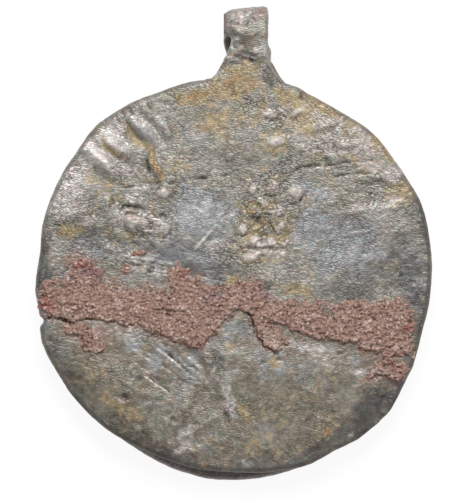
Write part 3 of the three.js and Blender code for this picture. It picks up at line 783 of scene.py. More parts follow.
def rough(x, y, size, seed, octaves=4, gain=0.55, stretch=1.0, turn=0.0, sharp=False):
    """Noise with lumps of a size, stretched along a direction in degrees, holding smaller ones.
    Sharp noise has creases where it would cross 0."""
    angle = math.radians(turn)
    along = (x * math.cos(angle) + y * math.sin(angle)) / (size * stretch)
    across = (y * math.cos(angle) - x * math.sin(angle)) / size
    total, weight, weights = 0.0, 1.0, 0.0
    for octave in range(octaves):
        # Each octave of even noise is turned, so that its squares don't line up.
        twist = 0.6 + 1.1 * octave if stretch == 1.0 else 0.0
        u = along * math.cos(twist) - across * math.sin(twist)
        v = along * math.sin(twist) + across * math.cos(twist)
        value = even_noise(u * 2**octave, v * 2**octave, seed + octave)
        total = total + weight * (1.0 - 3.0 * np.abs(value) if sharp else value)
        weights += weight
        weight *= gain
    return total / weights


def hump(x, y, form):
    """The strength of a form at its middle, falling smoothly to 0 at its ellipse."""
    px, py, half_length, half_width, turn, strength = form
    angle = math.radians(turn)
    along = ((x - px) * math.cos(angle) + (y - py) * math.sin(angle)) / half_length
    across = ((y - py) * math.cos(angle) - (x - px) * math.sin(angle)) / half_width
    return strength * np.maximum(0.0, 1.0 - along**2 - across**2) ** 2


def humps(x, y, forms):
    """All forms of a list together."""
    return sum((hump(x, y, form) for form in forms), np.zeros_like(x))


def nearest_on(x, y, start, end):
    """Where on a straight piece each place is nearest, as a share, and how far away it is."""
    (ax, ay), (bx, by) = start, end
    dx, dy = bx - ax, by - ay
    held = np.clip(((x - ax) * dx + (y - ay) * dy) / (dx * dx + dy * dy), 0.0, 1.0)
    return held, np.hypot(x - ax - held * dx, y - ay - held * dy)


def beside(x, y, path):
    """How far each place is from a path, plus on its left, and the share of the path there."""
    best = np.full(np.shape(x), np.inf)
    side = np.zeros(np.shape(x))
    share = np.zeros(np.shape(x))
    for index, ((ax, ay), (bx, by)) in enumerate(zip(path, path[1:])):
        held, away = nearest_on(x, y, (ax, ay), (bx, by))
        nearer = away < best
        best = np.where(nearer, away, best)
        side = np.where(nearer, np.sign((y - ay) * (bx - ax) - (x - ax) * (by - ay)), side)
        share = np.where(nearer, (index + held) / (len(path) - 1), share)
    return best * side, share


def fading(share):
    """Runs out at both ends of a path."""
    return np.sqrt(np.clip(4.0 * share * (1.0 - share), 0.0, 1.0))


def groove(x, y, width, depth, path):
    """A groove that is deepest on its path and runs out at both ends."""
    away, share = beside(x, y, path)
    return -depth * fading(share) * np.exp(-((away / width) ** 2))


def grooves(x, y, marks):
    """All grooves of a list together."""
    return sum((groove(x, y, *mark) for mark in marks), np.zeros_like(x))


def scarp(x, y, rise, reach, path):
    """A skin with a broken edge on its path, raised on the left and falling back over a reach."""
    away, share = beside(x, y, path)
    near = eased(away / SCARP_LIP + 0.5) * np.exp(-np.maximum(away, 0.0) / reach)
    return rise * fading(share) * near


def ragged(x, y, seed, amount=0.2, size=1.3):
    """Places nudged by noise, so that what is drawn there gets a ragged outline."""
    return (
        x + amount * rough(x, y, size, seed, octaves=3),
        y + amount * rough(x, y, size, seed + 50, octaves=3),
    )


@functools.cache
def outline_of(node):
    """The outline of a flat plate's underside, as a closed path."""
    mesh = NODES[node].data
    places = [tuple(round(c / MM, 3) for c in v.co[:2]) for v in mesh.vertices]
    ahead, edges = {}, set()
    for polygon in mesh.polygons:
        if polygon.normal.z < -0.9:
            corners = [places[v] for v in polygon.vertices]
            edges.update(zip(corners, corners[1:] + corners[:1]))
    for start, end in edges:
        if (end, start) not in edges:
            ahead[end] = start
    first = min(ahead)
    path = [first]
    while ahead[path[-1]] != first:
        path.append(ahead[path[-1]])
    return path + [first]


def depth_inside(x, y, path):
    """How far each place lies inside a closed path. It is minus outside."""
    best = np.full(np.shape(x), np.inf)
    inside = np.zeros(np.shape(x), bool)
    for (ax, ay), (bx, by) in zip(path, path[1:]):
        best = np.minimum(best, nearest_on(x, y, (ax, ay), (bx, by))[1])
        if ay != by:
            crosses = (ay > y) != (by > y)
            inside ^= crosses & (x < ax + (y - ay) / (by - ay) * (bx - ax))
    return np.where(inside, best, -best)


# Surface of the front face


def broad_relief(x, y, shape):
    """The front face without its texture: swells, bends, ridges and hollows."""
    wx, wy = ragged(x, y, seed=11, amount=0.3)
    swells = shape.swell / MM * rough(x, y, size=6.5, seed=21, octaves=2)
    # The lowest part of the face is bent back.
    bend = -0.36 * eased((LOWER_BEND - y) / 8.5)
    return swells + humps(wx, wy, FORMS + LUMPS) + bend


def roughness_at(x, y):
    """How rough the skin is, about 0.6 on most of the face."""
    return np.maximum(0.6 + 0.7 * humps(x, y, ROUGH_PATCHES) - humps(x, y, SMOOTH_PATCHES), 0.15)


def texture_relief(x, y, shape):
    """The worn texture of the front face: lumps, fine creases that run one way, and grain."""
    rougher = roughness_at(x, y)
    wx, wy = ragged(x, y, seed=35, amount=0.5, size=1.4)
    crease = {"octaves": 3, "gain": 0.75, "sharp": True}
    level = rough(wx, wy, size=0.5, seed=41, stretch=2.2, turn=-6, **crease)
    slant = rough(wx, wy, size=0.5, seed=46, stretch=2.2, turn=-47, **crease)
    wild = rough(wx, wy, size=0.7, seed=56, **crease)
    # The creases slant at the upper left and on the lower part, and here and there they run wild.
    slanted = np.maximum(eased((y - x - 18.0) / 6.0), 0.8 * eased((-5.0 - y) / 4.0))
    chaos = eased(0.5 + 1.5 * rough(x, y, size=3.6, seed=62, octaves=2))
    creases = level + (slant - level) * slanted
    creases = creases + (wild - creases) * chaos
    # In some places the creases stand up and in others they sink.
    rising = 0.5 + 1.8 * rough(x, y, size=3.0, seed=66, octaves=2) - 0.7 * (rougher - 0.7)
    creases *= 2.0 * eased(rising) - 1.0
    lumps = shape.lumps / MM * rough(x, y, size=1.9, seed=31, octaves=3, gain=0.5)
    grain = shape.grain / MM * rough(x, y, size=0.24, seed=51, octaves=1)
    return rougher * (lumps + shape.layers / MM * creases) + grain * (0.5 + 0.5 * rougher)


def grooves_relief(x, y):
    """Scratches, creases and cracks, of uneven depth."""
    uneven = np.clip(0.8 + 1.5 * rough(x, y, size=0.9, seed=79, octaves=2), 0.0, 1.4)
    return uneven * grooves(*ragged(x, y, seed=71, amount=0.24, size=0.6), GROOVES)


def scratches_relief(x, y):
    """Rubbed scratches, which stand up a little."""
    return -grooves(*ragged(x, y, seed=71, amount=0.14, size=0.7), PALE_SCRATCHES)


def pits_relief(x, y):
    """Broken edges of flaked skin, and pits."""
    wx, wy = ragged(x, y, seed=75, amount=0.3, size=0.6)
    total = sum((scarp(wx, wy, *edge) for edge in SCARPS), np.zeros_like(x))
    for px, py, radius, depth in PITS:
        away = np.hypot(wx - px, wy - py) / radius
        lip = 0.15 * np.exp(-((away - 1.3) ** 2) * 6.0)
        total += depth * (lip - np.exp(-(away**4)))
    return total


def front_relief(x, y, shape):
    """The whole relief of the front face."""
    marks = grooves_relief(x, y) + scratches_relief(x, y) + pits_relief(x, y)
    return broad_relief(x, y, shape) + texture_relief(x, y, shape) + marks


# Mesh tools


def placed(name, data):
    """A new object in the scene."""
    thing = bpy.data.objects.new(name, data)
    bpy.context.scene.collection.objects.link(thing)
    return thing


def made(name, points, faces, material, node, marks):
    """An object of points in millimetres, which stands for a CAD node."""
    mesh = bpy.data.meshes.new(name)
    mesh.from_pydata((np.asarray(points) * MM).tolist(), [], faces)
    mesh.validate()
    mesh.shade_smooth()
    for key, values in marks.items():
        layer = mesh.attributes.new(key, "FLOAT", "POINT")
        layer.data.foreach_set("value", np.asarray(values, np.float32))
    mesh.materials.append(material)
    piece = placed(name, mesh)
    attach(piece, "root")
    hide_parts(node)


def unit_disc(cells):
    """A square grid of places bent into a disc of radius 1, whose cells keep equal areas."""
    steps = np.linspace(-1.0, 1.0, cells + 1)
    u, v = np.meshgrid(steps, steps)
    wide = np.abs(u) > np.abs(v)
    reach = np.where(wide, u, v)
    whole = np.where(reach == 0.0, 1.0, reach)
    angle = np.where(wide, math.pi / 4 * v / whole, math.pi / 2 - math.pi / 4 * u / whole)
    return (reach * np.cos(angle)).ravel(), (reach * np.sin(angle)).ravel()


def grid_faces(columns, rows):
    """The squares of a grid of points, anticlockwise, in rows."""
    at = np.arange((columns + 1) * (rows + 1)).reshape(rows + 1, columns + 1)
    return np.stack([at[:-1, :-1], at[:-1, 1:], at[1:, 1:], at[1:, :-1]], axis=-1)


def grid_rim(cells):
    """The points along the edge of a square grid, anticlockwise."""
    at = np.arange((cells + 1) ** 2).reshape(cells + 1, cells + 1)
    return np.concatenate([at[0, :-1], at[:-1, -1], at[-1, :0:-1], at[:0:-1, 0]])


def outline_radii(node, level, angles):
    """How far a node reaches from the seal's axis at a height, in each direction."""
    mesh = NODES[node].data
    tree = BVHTree.FromPolygons([v.co for v in mesh.vertices], [p.vertices for p in mesh.polygons])
    radii = []
    for angle in angles:
        ray = Vector((math.cos(angle), math.sin(angle), 0.0))
        start = 3.0 * DISC_RADIUS * ray + Vector((0.0, 0.0, level))
        hit = tree.ray_cast(start * MM, -ray)[0]
        radii.append(math.hypot(hit.x, hit.y) / MM)
    return np.array(radii)


def rolling(values, reach):
    """The mean of each value and its neighbours round a closed loop."""
    return sum(np.roll(values, step, axis=0) for step in range(-reach, reach + 1)) / (2 * reach + 1)


def disc_edge(radii, angles, rim_round):
    """The line where a disc's rounded edge starts, the way out of the disc at each place of it, and
    how far round the disc the place is."""
    edge = rolling(np.stack([radii * np.cos(angles), radii * np.sin(angles)], axis=1), 1)
    along = rolling(np.roll(edge, -1, axis=0) - np.roll(edge, 1, axis=0), 2)
    along /= np.linalg.norm(along, axis=1)[:, None]
    out = np.stack([along[:, 1], -along[:, 0]], axis=1)
    run = np.cumsum(np.linalg.norm(edge - np.roll(edge, 1, axis=0), axis=1))
    return rolling(edge - rim_round * out, 2), out, run


def drawn_out(ux, uy, radius, inset, angles):
    """The places of a round grid, of which only the outer part is drawn out to an uneven line."""
    order = np.argsort(angles)
    outer = np.hypot(ux, uy) ** 10
    around = np.arctan2(uy, ux)
    places = []
    even = np.cos(angles), np.sin(angles)
    for unit, wanted, unstretched in zip((ux, uy), inset.T, even):
        stretch = (wanted - radius * unstretched)[order]
        drawn = outer * np.interp(around, angles[order], stretch, period=2 * math.pi)
        places.append(radius * unit + drawn)
    return places


def disc_mesh(node, cells, low, high, relief, face_up, shape, least_radius):
    """Points and faces of a disc, one face a fine grid with its relief, and the other plain rings.
    A torn notch that is deeper than the least radius is filled up to it."""
    rim_round = shape.rim_round / MM
    middle = (low + high) / 2
    ux, uy = unit_disc(cells)
    rim = grid_rim(cells)
    angles = np.arctan2(uy[rim], ux[rim])
    radii = np.maximum(outline_radii(node, middle, angles), least_radius)
    inset, out, run = disc_edge(radii, angles, rim_round)
    x, y = drawn_out(ux, uy, DISC_RADIUS - rim_round, inset, angles)
    height = relief(x, y, shape)
    fine = high + height if face_up else low - height
    points = [np.stack([x, y, fine], axis=1)]

    other = low if face_up else high
    for step in range(1, RIM_STEPS + 1):
        turn = math.pi * step / RIM_STEPS
        start = fine[rim] if turn < math.pi / 2 else other
        level = middle + (start - middle) * abs(math.cos(turn))
        dents = shape.rim_dents / MM * rough(run, level, size=1.4, seed=91)
        if face_up:
            dents += humps(inset[:, 0], inset[:, 1], RIM_LUMPS)
        place = inset + (math.sin(turn) * (rim_round + dents))[:, None] * out
        points.append(np.column_stack([place, np.broadcast_to(level, len(rim))]))
    for share in PLAIN_RINGS:
        points.append(np.column_stack([inset * share, np.full(len(rim), other)]))
    rings = len(points) - 1
    points = np.concatenate(points + [[[0.0, 0.0, other]]])

    faces = grid_faces(cells, cells).reshape(-1, 4).tolist()
    before = rim
    for ring in range(rings):
        now = len(x) + ring * len(rim) + np.arange(len(rim))
        faces += np.stack([before, now, np.roll(now, -1), np.roll(before, -1)], axis=1).tolist()
        before = now
    centre = np.full(len(rim), len(points) - 1)
    faces += np.stack([before, centre, np.roll(before, -1)], axis=1).tolist()
    if not face_up:
        faces = [corners[::-1] for corners in faces]
    return points, faces


def draw_out_ends(mesh, reach):
    """Draws a mesh's ends that face the discs out by a reach."""
    drawn = bmesh.new()
    drawn.from_mesh(mesh)
    near_seam = SEAM * MM + MM / 10
    ends = [f for f in drawn.faces if f.normal.y < -0.99 and f.calc_center_median().y < near_seam]
    grown = bmesh.ops.extrude_face_region(drawn, geom=ends)["geom"]
    bmesh.ops.delete(drawn, geom=ends, context="FACES")
    for part in grown:
        if isinstance(part, bmesh.types.BMVert):
            part.co.y -= reach * MM
    drawn.to_mesh(mesh)
    drawn.free()


def fine_copy(node, cell, reach=0.0):
    """A fine even mesh of a CAD node, as points, faces and normals. Its ends that face the discs
    are first drawn out by a reach."""
    mesh = NODES[node].data.copy()
    if reach:
        draw_out_ends(mesh, reach)
    copy = placed("fine_copy", mesh)
    weld = copy.modifiers.new("weld", "WELD")
    weld.merge_threshold = 0.002 * MM
    fine = copy.modifiers.new("fine", "REMESH")
    fine.mode = "VOXEL"
    fine.voxel_size = cell
    evaluated = copy.evaluated_get(bpy.context.evaluated_depsgraph_get())
    result = bpy.data.meshes.new_from_object(evaluated)
    points = np.array([v.co for v in result.vertices]) / MM
    normals = np.array([v.normal for v in result.vertices])
    faces = [list(p.vertices) for p in result.polygons]
    bpy.data.objects.remove(copy)
    bpy.data.meshes.remove(mesh)
    bpy.data.meshes.remove(result)
    return points, faces, normals


def solid_noise(points, size, seed, octaves):
    """Noise at each point, with lumps of a size that run on round the corners."""
    shift = Vector((7.3, 3.1, 5.7)) * seed
    places = [Vector(point) / size + shift for point in points.tolist()]
    return np.array([noise.fractal(place, 0.8, 2.1, octaves) for place in places])


# Materials


def add(tree, kind, inputs=None, out=None, **settings):
    """Adds a node with its settings, values and links. Gives its named output, or its first."""
    node = tree.nodes.new(kind)
    for key, value in settings.items():
        setattr(node, key, value)
    for key, value in (inputs or {}).items():
        named = [s for s in node.inputs if s.enabled and s.name == key]
        socket = named[0] if named else node.inputs[key]
        if isinstance(value, bpy.types.NodeSocket):
            tree.links.new(value, socket)
        else:
            socket.default_value = value
    outputs = [s for s in node.outputs if s.enabled and out in (None, s.name)]
    return outputs[0] if outputs else None


def blank(name):
    """A new material without nodes."""
    material = bpy.data.materials.new(name)
    material.use_nodes = True
    material.node_tree.nodes.clear()
    return material


def mottle(tree, size, detail, contrast, stretch=1.0, turn=0.0, middle=0.5, sharp=False):
    """A pattern of lumps, or of sharp creases, from 0 to 1. Its size is in millimetres on the
    object's own places, and it may be stretched along a direction in degrees."""
    place = add(tree, "ShaderNodeTexCoord", out="Object")
    if stretch != 1.0:
        turned, longer = (0.0, 0.0, math.radians(turn)), (stretch, 1.0, 1.0)
        drawn = {"Vector": place, "Rotation": turned, "Scale": longer}
        place = add(tree, "ShaderNodeMapping", drawn, vector_type="TEXTURE")
    lumps = {"Vector": place, "Scale": 1 / (size * MM), "Detail": detail}
    if sharp:
        lumps.update({"Offset": 1.0, "Gain": 1.0})
    kind = "RIDGED_MULTIFRACTAL" if sharp else "FBM"
    value = add(tree, "ShaderNodeTexNoise", lumps, noise_type=kind)
    half = 0.5 / contrast
    spread = {"Value": value, "From Min": middle - half, "From Max": middle + half}
    return add(tree, "ShaderNodeMapRange", spread)


def cast_lead(name, skin, olive, colours, bumps):
    """Lead, cast and hammered, with centuries of patina. The eye sees a dull grey skin of carbonate
    and oxide, blotched with olive, slate and yellow earth. Its high places are painted whitish, for
    wear and as a painted highlight, and its hollows and creases dark, for soil and as painted
    shade."""
    material = blank(name)
    tree = material.node_tree
    # The clouds, flecks and tinges are as wide as on real patina. The finest creases of its skin
    # are narrower than the picture can show, and are drawn 0.2 mm apart.
    clouds = mottle(tree, size=3.4, detail=4.0, contrast=3.0)
    flecks = mottle(tree, size=0.8, detail=4.0, contrast=2.8)
    rosy = mottle(tree, size=0.45, detail=3.0, contrast=2.6)
    cool = mottle(tree, size=0.55, detail=3.0, contrast=2.6)
    drawn = {"stretch": 2.2, "turn": -11.0, "middle": 1.05, "sharp": True}
    creases = mottle(tree, size=0.22, detail=3.0, contrast=1.0, **drawn)
    masks = {
        key: add(tree, "ShaderNodeAttribute", out="Fac", attribute_name=key)
        for key in (*PATINA, "worn", "dark_hollows_and_shade", "gritty")
    }
    uneven = {"Factor": flecks, "A": paint("#d6d6d6"), "B": paint("#ffffff")}
    # Painted shade: the finest creases darken the colour, as far as the gritty mask reaches.
    crease_shade = {"Factor": creases, "A": paint("#ffffff"), "B": paint("#6b6765")}
    layers = [(clouds, "MIX", olive)]
    layers += [(masks[key], "MIX", getattr(colours, key)) for key in PATINA]
    layers += [
        (1.0, "MULTIPLY", add(tree, "ShaderNodeMix", uneven, data_type="RGBA")),
        (rosy, "MULTIPLY", paint("#ffe9ea")),
        (cool, "MULTIPLY", paint("#e6f3f0")),
        (masks["gritty"], "MULTIPLY", add(tree, "ShaderNodeMix", crease_shade, data_type="RGBA")),
        (masks["worn"], "MIX", colours.worn),
        (masks["dark_hollows_and_shade"], "MIX", colours.dark_hollows_and_shade),
    ]
    patina = skin
    for mask, way, top in layers:
        laid = {"Factor": mask, "A": patina, "B": top}
        patina = add(tree, "ShaderNodeMix", laid, data_type="RGBA", blend_type=way)
    fine = {"Distance": 0.042 * MM * bumps, "Height": creases, "Strength": masks["gritty"]}
    fine = add(tree, "ShaderNodeBump", fine, invert=True)
    dimples = {"Distance": 0.02 * MM * bumps, "Height": flecks, "Normal": fine}
    # Yellow earth covers the metal's shine, and rubbing brings it back.
    bare = {"Value": masks["ochre"], "To Min": 0.32, "To Max": 0.08}
    dull = {"Value": masks["worn"], "To Min": 0.44, "To Max": 0.36}
    surface = {
        "Base Color": patina,
        "Metallic": add(tree, "ShaderNodeMapRange", bare),
        "Roughness": add(tree, "ShaderNodeMapRange", dull),
        "Normal": add(tree, "ShaderNodeBump", dimples),
    }
    shader = add(tree, "ShaderNodeBsdfPrincipled", surface)
    add(tree, "ShaderNodeOutputMaterial", {"Surface": shader})
    return material


def mineral_crust(name, colours):
    """A dry crust of iron and lead minerals, grown in the ground. The eye sees red-brown grains
    with no gloss. Painted shade darkens the creases and cracks between them, and painted glints
    lighten small spots."""
    material = blank(name)
    tree = material.node_tree
    # The grains and clouds are as wide as on real crust.
    grains = mottle(tree, size=0.24, detail=3.0, contrast=2.4)
    clouds = mottle(tree, size=1.6, detail=3.0, contrast=3.0)
    masks = {
        key: add(tree, "ShaderNodeAttribute", out="Fac", attribute_name=key)
        for key in (*CRUST_PATCHES, "worn", "dark_hollows_and_shade")
    }
    grainy = {"Factor": grains, "A": paint("#a59c97"), "B": paint("#ffffff")}
    layers = [(clouds, "MIX", colours.earth)]
    layers += [(masks[key], "MIX", getattr(colours, key)) for key in CRUST_PATCHES]
    layers += [
        (masks["worn"], "MIX", colours.wear_and_glints),
        (masks["dark_hollows_and_shade"], "MIX", colours.hollow),
        (1.0, "MULTIPLY", add(tree, "ShaderNodeMix", grainy, data_type="RGBA")),
    ]
    crust = colours.crust
    for mask, way, top in layers:
        laid = {"Factor": mask, "A": crust, "B": top}
        crust = add(tree, "ShaderNodeMix", laid, data_type="RGBA", blend_type=way)
    surface = {
        "Base Color": crust,
        "Roughness": 0.48,
        "Normal": add(tree, "ShaderNodeBump", {"Distance": 0.12 * MM, "Height": grains}),
    }
    shader = add(tree, "ShaderNodeBsdfPrincipled", surface)
    add(tree, "ShaderNodeOutputMaterial", {"Surface": shader})
    return material


def white_paper():
    """Matte white paper. The camera, gloss and glass see it mostly lit from within, so that it
    looks white and keeps a faint shadow. It lights the seal as plain paper does."""
    material = blank("white_paper")
    tree = material.node_tree
    matte = add(tree, "ShaderNodeBsdfDiffuse", {"Color": paint("#ffffff")})
    glow = add(tree, "ShaderNodeEmission", {"Color": paint("#ffffff"), "Strength": 1.0})
    lit, seen = 0.92, 0.0
    for way in ("Is Camera Ray", "Is Glossy Ray", "Is Transmission Ray"):
        either = {0: seen, 1: add(tree, "ShaderNodeLightPath", out=way)}
        seen = add(tree, "ShaderNodeMath", either, operation="MAXIMUM")
    part = add(tree, "ShaderNodeMath", {0: seen, 1: lit}, operation="MULTIPLY")
    shown = add(tree, "ShaderNodeMixShader", {0: part, 1: matte, 2: glow})
    add(tree, "ShaderNodeOutputMaterial", {"Surface": shown})
    return material


def front_lead(context):
    """The lead of the front disc, strip and rivet, made once."""
    name = "patinated_cast_lead"
    colours = context.scene.lead_colours
    made_before = bpy.data.materials.get(name)
    return made_before or cast_lead(name, colours.skin, colours.olive, colours, bumps=1.0)


# Pieces


def blotches(x, y, amount, size, seed, soft):
    """Blotches of a size, which gather and grow together as the amount goes from 0 to 1."""
    broken = 1.25 * amount + rough(x, y, size, seed, octaves=4, gain=0.75)
    return eased((broken - 0.7) / soft + 0.5)


def near_crust(x, y):
    """1 at the crust's border, falling off outwards."""
    share = np.zeros_like(x)
    for node in NODES:
        if node.startswith("crust"):
            share = np.maximum(share, np.exp(depth_inside(x, y, outline_of(node)) / 0.7))
    return np.minimum(share, 1.0)


def patina_amounts(x, y, wx, wy):
    """How much of each colour the patina has, at points and at the same points nudged by noise."""
    amounts = {key: humps(wx, wy, patches) for key, patches in PATINA.items()}
    below_band = eased((-2.5 - wy) / 3.0)
    amounts["brown"] += 0.6 * below_band
    amounts["ochre"] += 0.2 - 0.25 * np.minimum(amounts["slate"], 1.0)
    amounts["ochre"] *= 1.0 - 0.25 * below_band
    amounts["stain"] += 0.6 * near_crust(wx, wy)
    # Painted shade: the rim is darkened with dark slate and soil colours, more towards the lower
    # right, but not at the upper left or on the neck.
    near_rim = np.exp(np.minimum(-depth_inside(x, y, outline_of("front_disc")), 0.0) / 1.1)
    rim_shade = near_rim * (y < SEAM - 1.5) * eased((11.0 + x - y) / 14.0)
    amounts["dark_slate_and_shade"] += 0.9 * rim_shade
    amounts["soil"] += 0.25 * rim_shade
    return amounts


def patina_marks(x, y, texture):
    """The patina's masks at each point of a lead surface that faces up."""
    wx, wy = ragged(x, y, seed=81, amount=0.6, size=1.6)
    marks = {}
    for index, (key, amount) in enumerate(patina_amounts(x, y, wx, wy).items()):
        size, soft, most = BLOTCHES[key]
        marks[key] = blotches(x, y, amount, size, 85 + 7 * index, soft) * most

    lumps = humps(*ragged(x, y, seed=11, amount=0.3), LUMPS)
    raised = eased((lumps - 0.04) / 0.18)
    scratches = scratches_relief(x, y)
    scratched = eased((scratches - 0.01) / 0.05)
    marks["ochre"] = np.maximum(marks["ochre"], raised)
    marks["pale"] = np.maximum(marks["pale"] * (1.0 - 0.3 * raised), 0.85 * raised)
    marks["pale"] = np.maximum(marks["pale"], 0.8 * eased(scratches / 0.05))

    # High places are painted whitish, for wear and as painted glints, and low ones and cracks dark,
    # for soil and as painted shade.
    wear_and_glints = 0.75 * eased((texture - 0.05) / 0.12) * (0.35 + 0.65 * marks["pale"])
    marks["worn"] = np.maximum(wear_and_glints, 0.6 * scratched)
    # Painted shade and soil darken the grooves, the low texture and the places between lumps.
    cracked = 0.9 * eased((-grooves_relief(x, y) - 0.03) / 0.12)
    soil_and_shade = np.maximum(0.75 * eased((-texture - 0.09) / 0.16), cracked)
    soil_and_shade *= 1.0 - 0.5 * marks["pale"]
    marks["dark_hollows_and_shade"] = np.maximum(soil_and_shade, 0.6 * eased((-lumps - 0.06) / 0.16))

    # The finest creases, bumped and painted dark as shade, are deepest on rough skin, and weak on
    # dark slate and shaded, raised and scratched places.
    uneven = rough(x, y, size=2.2, seed=181, octaves=3)
    gritty = 0.44 + 0.4 * roughness_at(wx, wy) + 0.5 * uneven - 0.2 * eased((-3.0 - y) / 4.0)
    gritty -= 0.15 * marks["dark_slate_and_shade"] + 0.35 * raised
    marks["gritty"] = np.clip(gritty, 0.28, 1.0) * (1.0 - 0.8 * scratched)
    return marks


class SEAL_OT_front_disc(bpy.types.Operator):
    """Makes the hammered front disc, with its neck, torn notch, ridges, creases and scratches"""

    bl_idname = "seal.front_disc"
    bl_label = "Front disc"

    def execute(self, context):
        shape = context.scene.seal_shape
        cells = shape.front_cells
        points, faces = disc_mesh(
            "front_disc", cells, FRONT_UNDERSIDE, FACE, front_relief, True, shape, least_radius=18.7
        )
        x, y = points[:, 0], points[:, 1]
        marks = patina_marks(x, y, texture_relief(x, y, shape) + pits_relief(x, y))
        # The edge and the underside are painted darker, as painted shade on the rim.
        marks["dark_hollows_and_shade"][(cells + 1) ** 2 :] = 0.32
        lead = front_lead(context)
        made("hammered_front_disc", points, faces, lead, "front_disc", marks)
        return {"FINISHED"}


def rear_relief(x, y, _shape):
    """The rear face is worn flat, and lifts towards its rim."""
    lift = 0.24 * eased((np.hypot(x, y) / DISC_RADIUS - 0.8) / 0.2)
    return -lift + 0.05 * rough(x, y, size=2.2, seed=121, octaves=5) - 0.05


class SEAL_OT_rear_disc(bpy.types.Operator):
    """Makes the plain rear disc, whose rear face is worn flat"""

    bl_idname = "seal.rear_disc"
    bl_label = "Rear disc"

    def execute(self, context):
        shape = context.scene.seal_shape
        colours = context.scene.lead_colours
        cells = shape.rear_cells
        points, faces = disc_mesh(
            "rear_disc", cells, 0.0, DISC_THICKNESS, rear_relief, False, shape, least_radius=17.0
        )
        lead = cast_lead("buried_cast_lead", colours.rear, colours.rear_olive, colours, bumps=0.6)
        marks = {"gritty": np.full(len(points), 0.6)}
        made("plain_rear_disc", points, faces, lead, "rear_disc", marks)
        return {"FINISHED"}


def strip_form(points, normals, up, shape):
    """The strip's points after the hammer and wear, its texture, and how far its side is spread."""
    x, y, z = points.T
    texture = texture_relief(x, y, shape)
    lumps = 0.09 * solid_noise(points, size=1.3, seed=3, octaves=2)
    lumps = lumps + 0.02 * solid_noise(points, size=0.45, seed=9, octaves=3)
    own = humps(x, y, STRIP_DENTS) * up + lumps
    # Near the front disc the strip goes on with the face's relief, and its end dips into it.
    joined = (1.0 - eased((y - SEAM - 0.5) / 2.2)) * eased((up - 0.2) / 0.6)
    face = np.minimum(front_relief(x, y, shape), 0.1) * (1.0 - eased((y - SEAM) / 1.6))
    level = FACE + face - 0.08 * eased((y - SEAM) / 1.4) + 0.5 * texture * up
    level -= 0.3 * eased((SEAM - 0.45 - y) / 0.5)
    formed = points + normals * own[:, None]
    formed[:, 2] += (level - formed[:, 2]) * joined
    formed[:, 2] = np.clip(formed[:, 2], 0.0, FACE + 0.5)
    # The hammer drew out the crest, and above the eye it spread the front leg's side down.
    formed[:, 1] += 0.17 * eased((y - CREST) / 1.6)
    side = eased(-1.6 * normals[:, 0]) * eased((y - EYE_LOW) / 0.5)
    side = side * eased((EYE_HIGH - y) / 0.5)
    side *= (z > 2.2) * (x < 0.6) * eased((FACE + 0.2 - z) / 1.0)
    spread = np.maximum(formed[:, 0] - 0.62 * side, -1.0)
    formed[:, 0] = np.where(side > 0.0, spread, formed[:, 0])
    return formed, 0.4 * own * (1.0 - joined) + texture * joined, side


class SEAL_OT_strip(bpy.types.Operator):
    """Makes the strip, folded over its eye and drawn out of true by the hammer"""

    bl_idname = "seal.strip"
    bl_label = "Folded strip"

    def execute(self, context):
        shape = context.scene.seal_shape
        points, faces, normals = fine_copy("connecting_strip", shape.fold_cell, reach=1.0)
        x, y, z = points.T
        up = np.clip(normals[:, 2], 0.0, 1.0) * (z > FRONT_UNDERSIDE)
        formed, texture, side = strip_form(points, normals, up, shape)
        marks = patina_marks(x, y, texture)
        for key in PATINA:
            marks[key] = marks[key] * up
        # The side above the eye is darkened with stain and soil colours, as painted shade, and the
        # eye is painted dark as its shadow.
        marks["stain"] = np.maximum(marks["stain"], 0.6 * side)
        marks["soil"] = np.maximum(marks["soil"], 0.75 * side)
        eye = hump(x, y, EYE_SHADOW) * (z < DISC_THICKNESS + 0.4)
        marks["dark_hollows_and_shade"] = np.maximum(marks["dark_hollows_and_shade"], np.minimum(eye, 0.7))
        # Handling smoothed the strip.
        marks["gritty"] *= 0.65
        marks["worn"] *= 0.5
        lead = front_lead(context)
        made("folded_strip", formed, faces, lead, "connecting_strip", marks)
        return {"FINISHED"}


class SEAL_OT_rivet(bpy.types.Operator):
    """Makes the rivet, whose head was beaten out and has lumps and folds"""

    bl_idname = "seal.rivet"
    bl_label = "Rivet"

    def execute(self, context):
        shape = context.scene.seal_shape
        points, faces, normals = fine_copy("rivet", shape.fold_cell)
        x, y, z = points.T
        head = (z > FACE - 0.05) & (normals[:, 2] > 0.0)
        wx, wy = ragged(x, y, seed=61, amount=0.7, size=1.4)
        away = np.hypot(wx - RIVET_PLACE[0], wy - RIVET_PLACE[1])
        swell = 0.4 * eased((RIVET_REACH - away) / 2.2) - 0.12
        folds = rough(wx, wy, size=0.5, seed=63, octaves=3, gain=0.65, sharp=True)
        folds = (0.14 * folds - 0.02) * eased((RIVET_REACH - away) / 1.2)
        top = FACE + front_relief(x, y, shape) + swell - folds
        points[:, 2] = np.where(head, np.minimum(top, box("rivet")[1][2]), z)
        marks = patina_marks(x, y, texture_relief(x, y, shape) - folds)
        lead = front_lead(context)
        made("clenched_rivet", points, faces, lead, "rivet", marks)
        return {"FINISHED"}


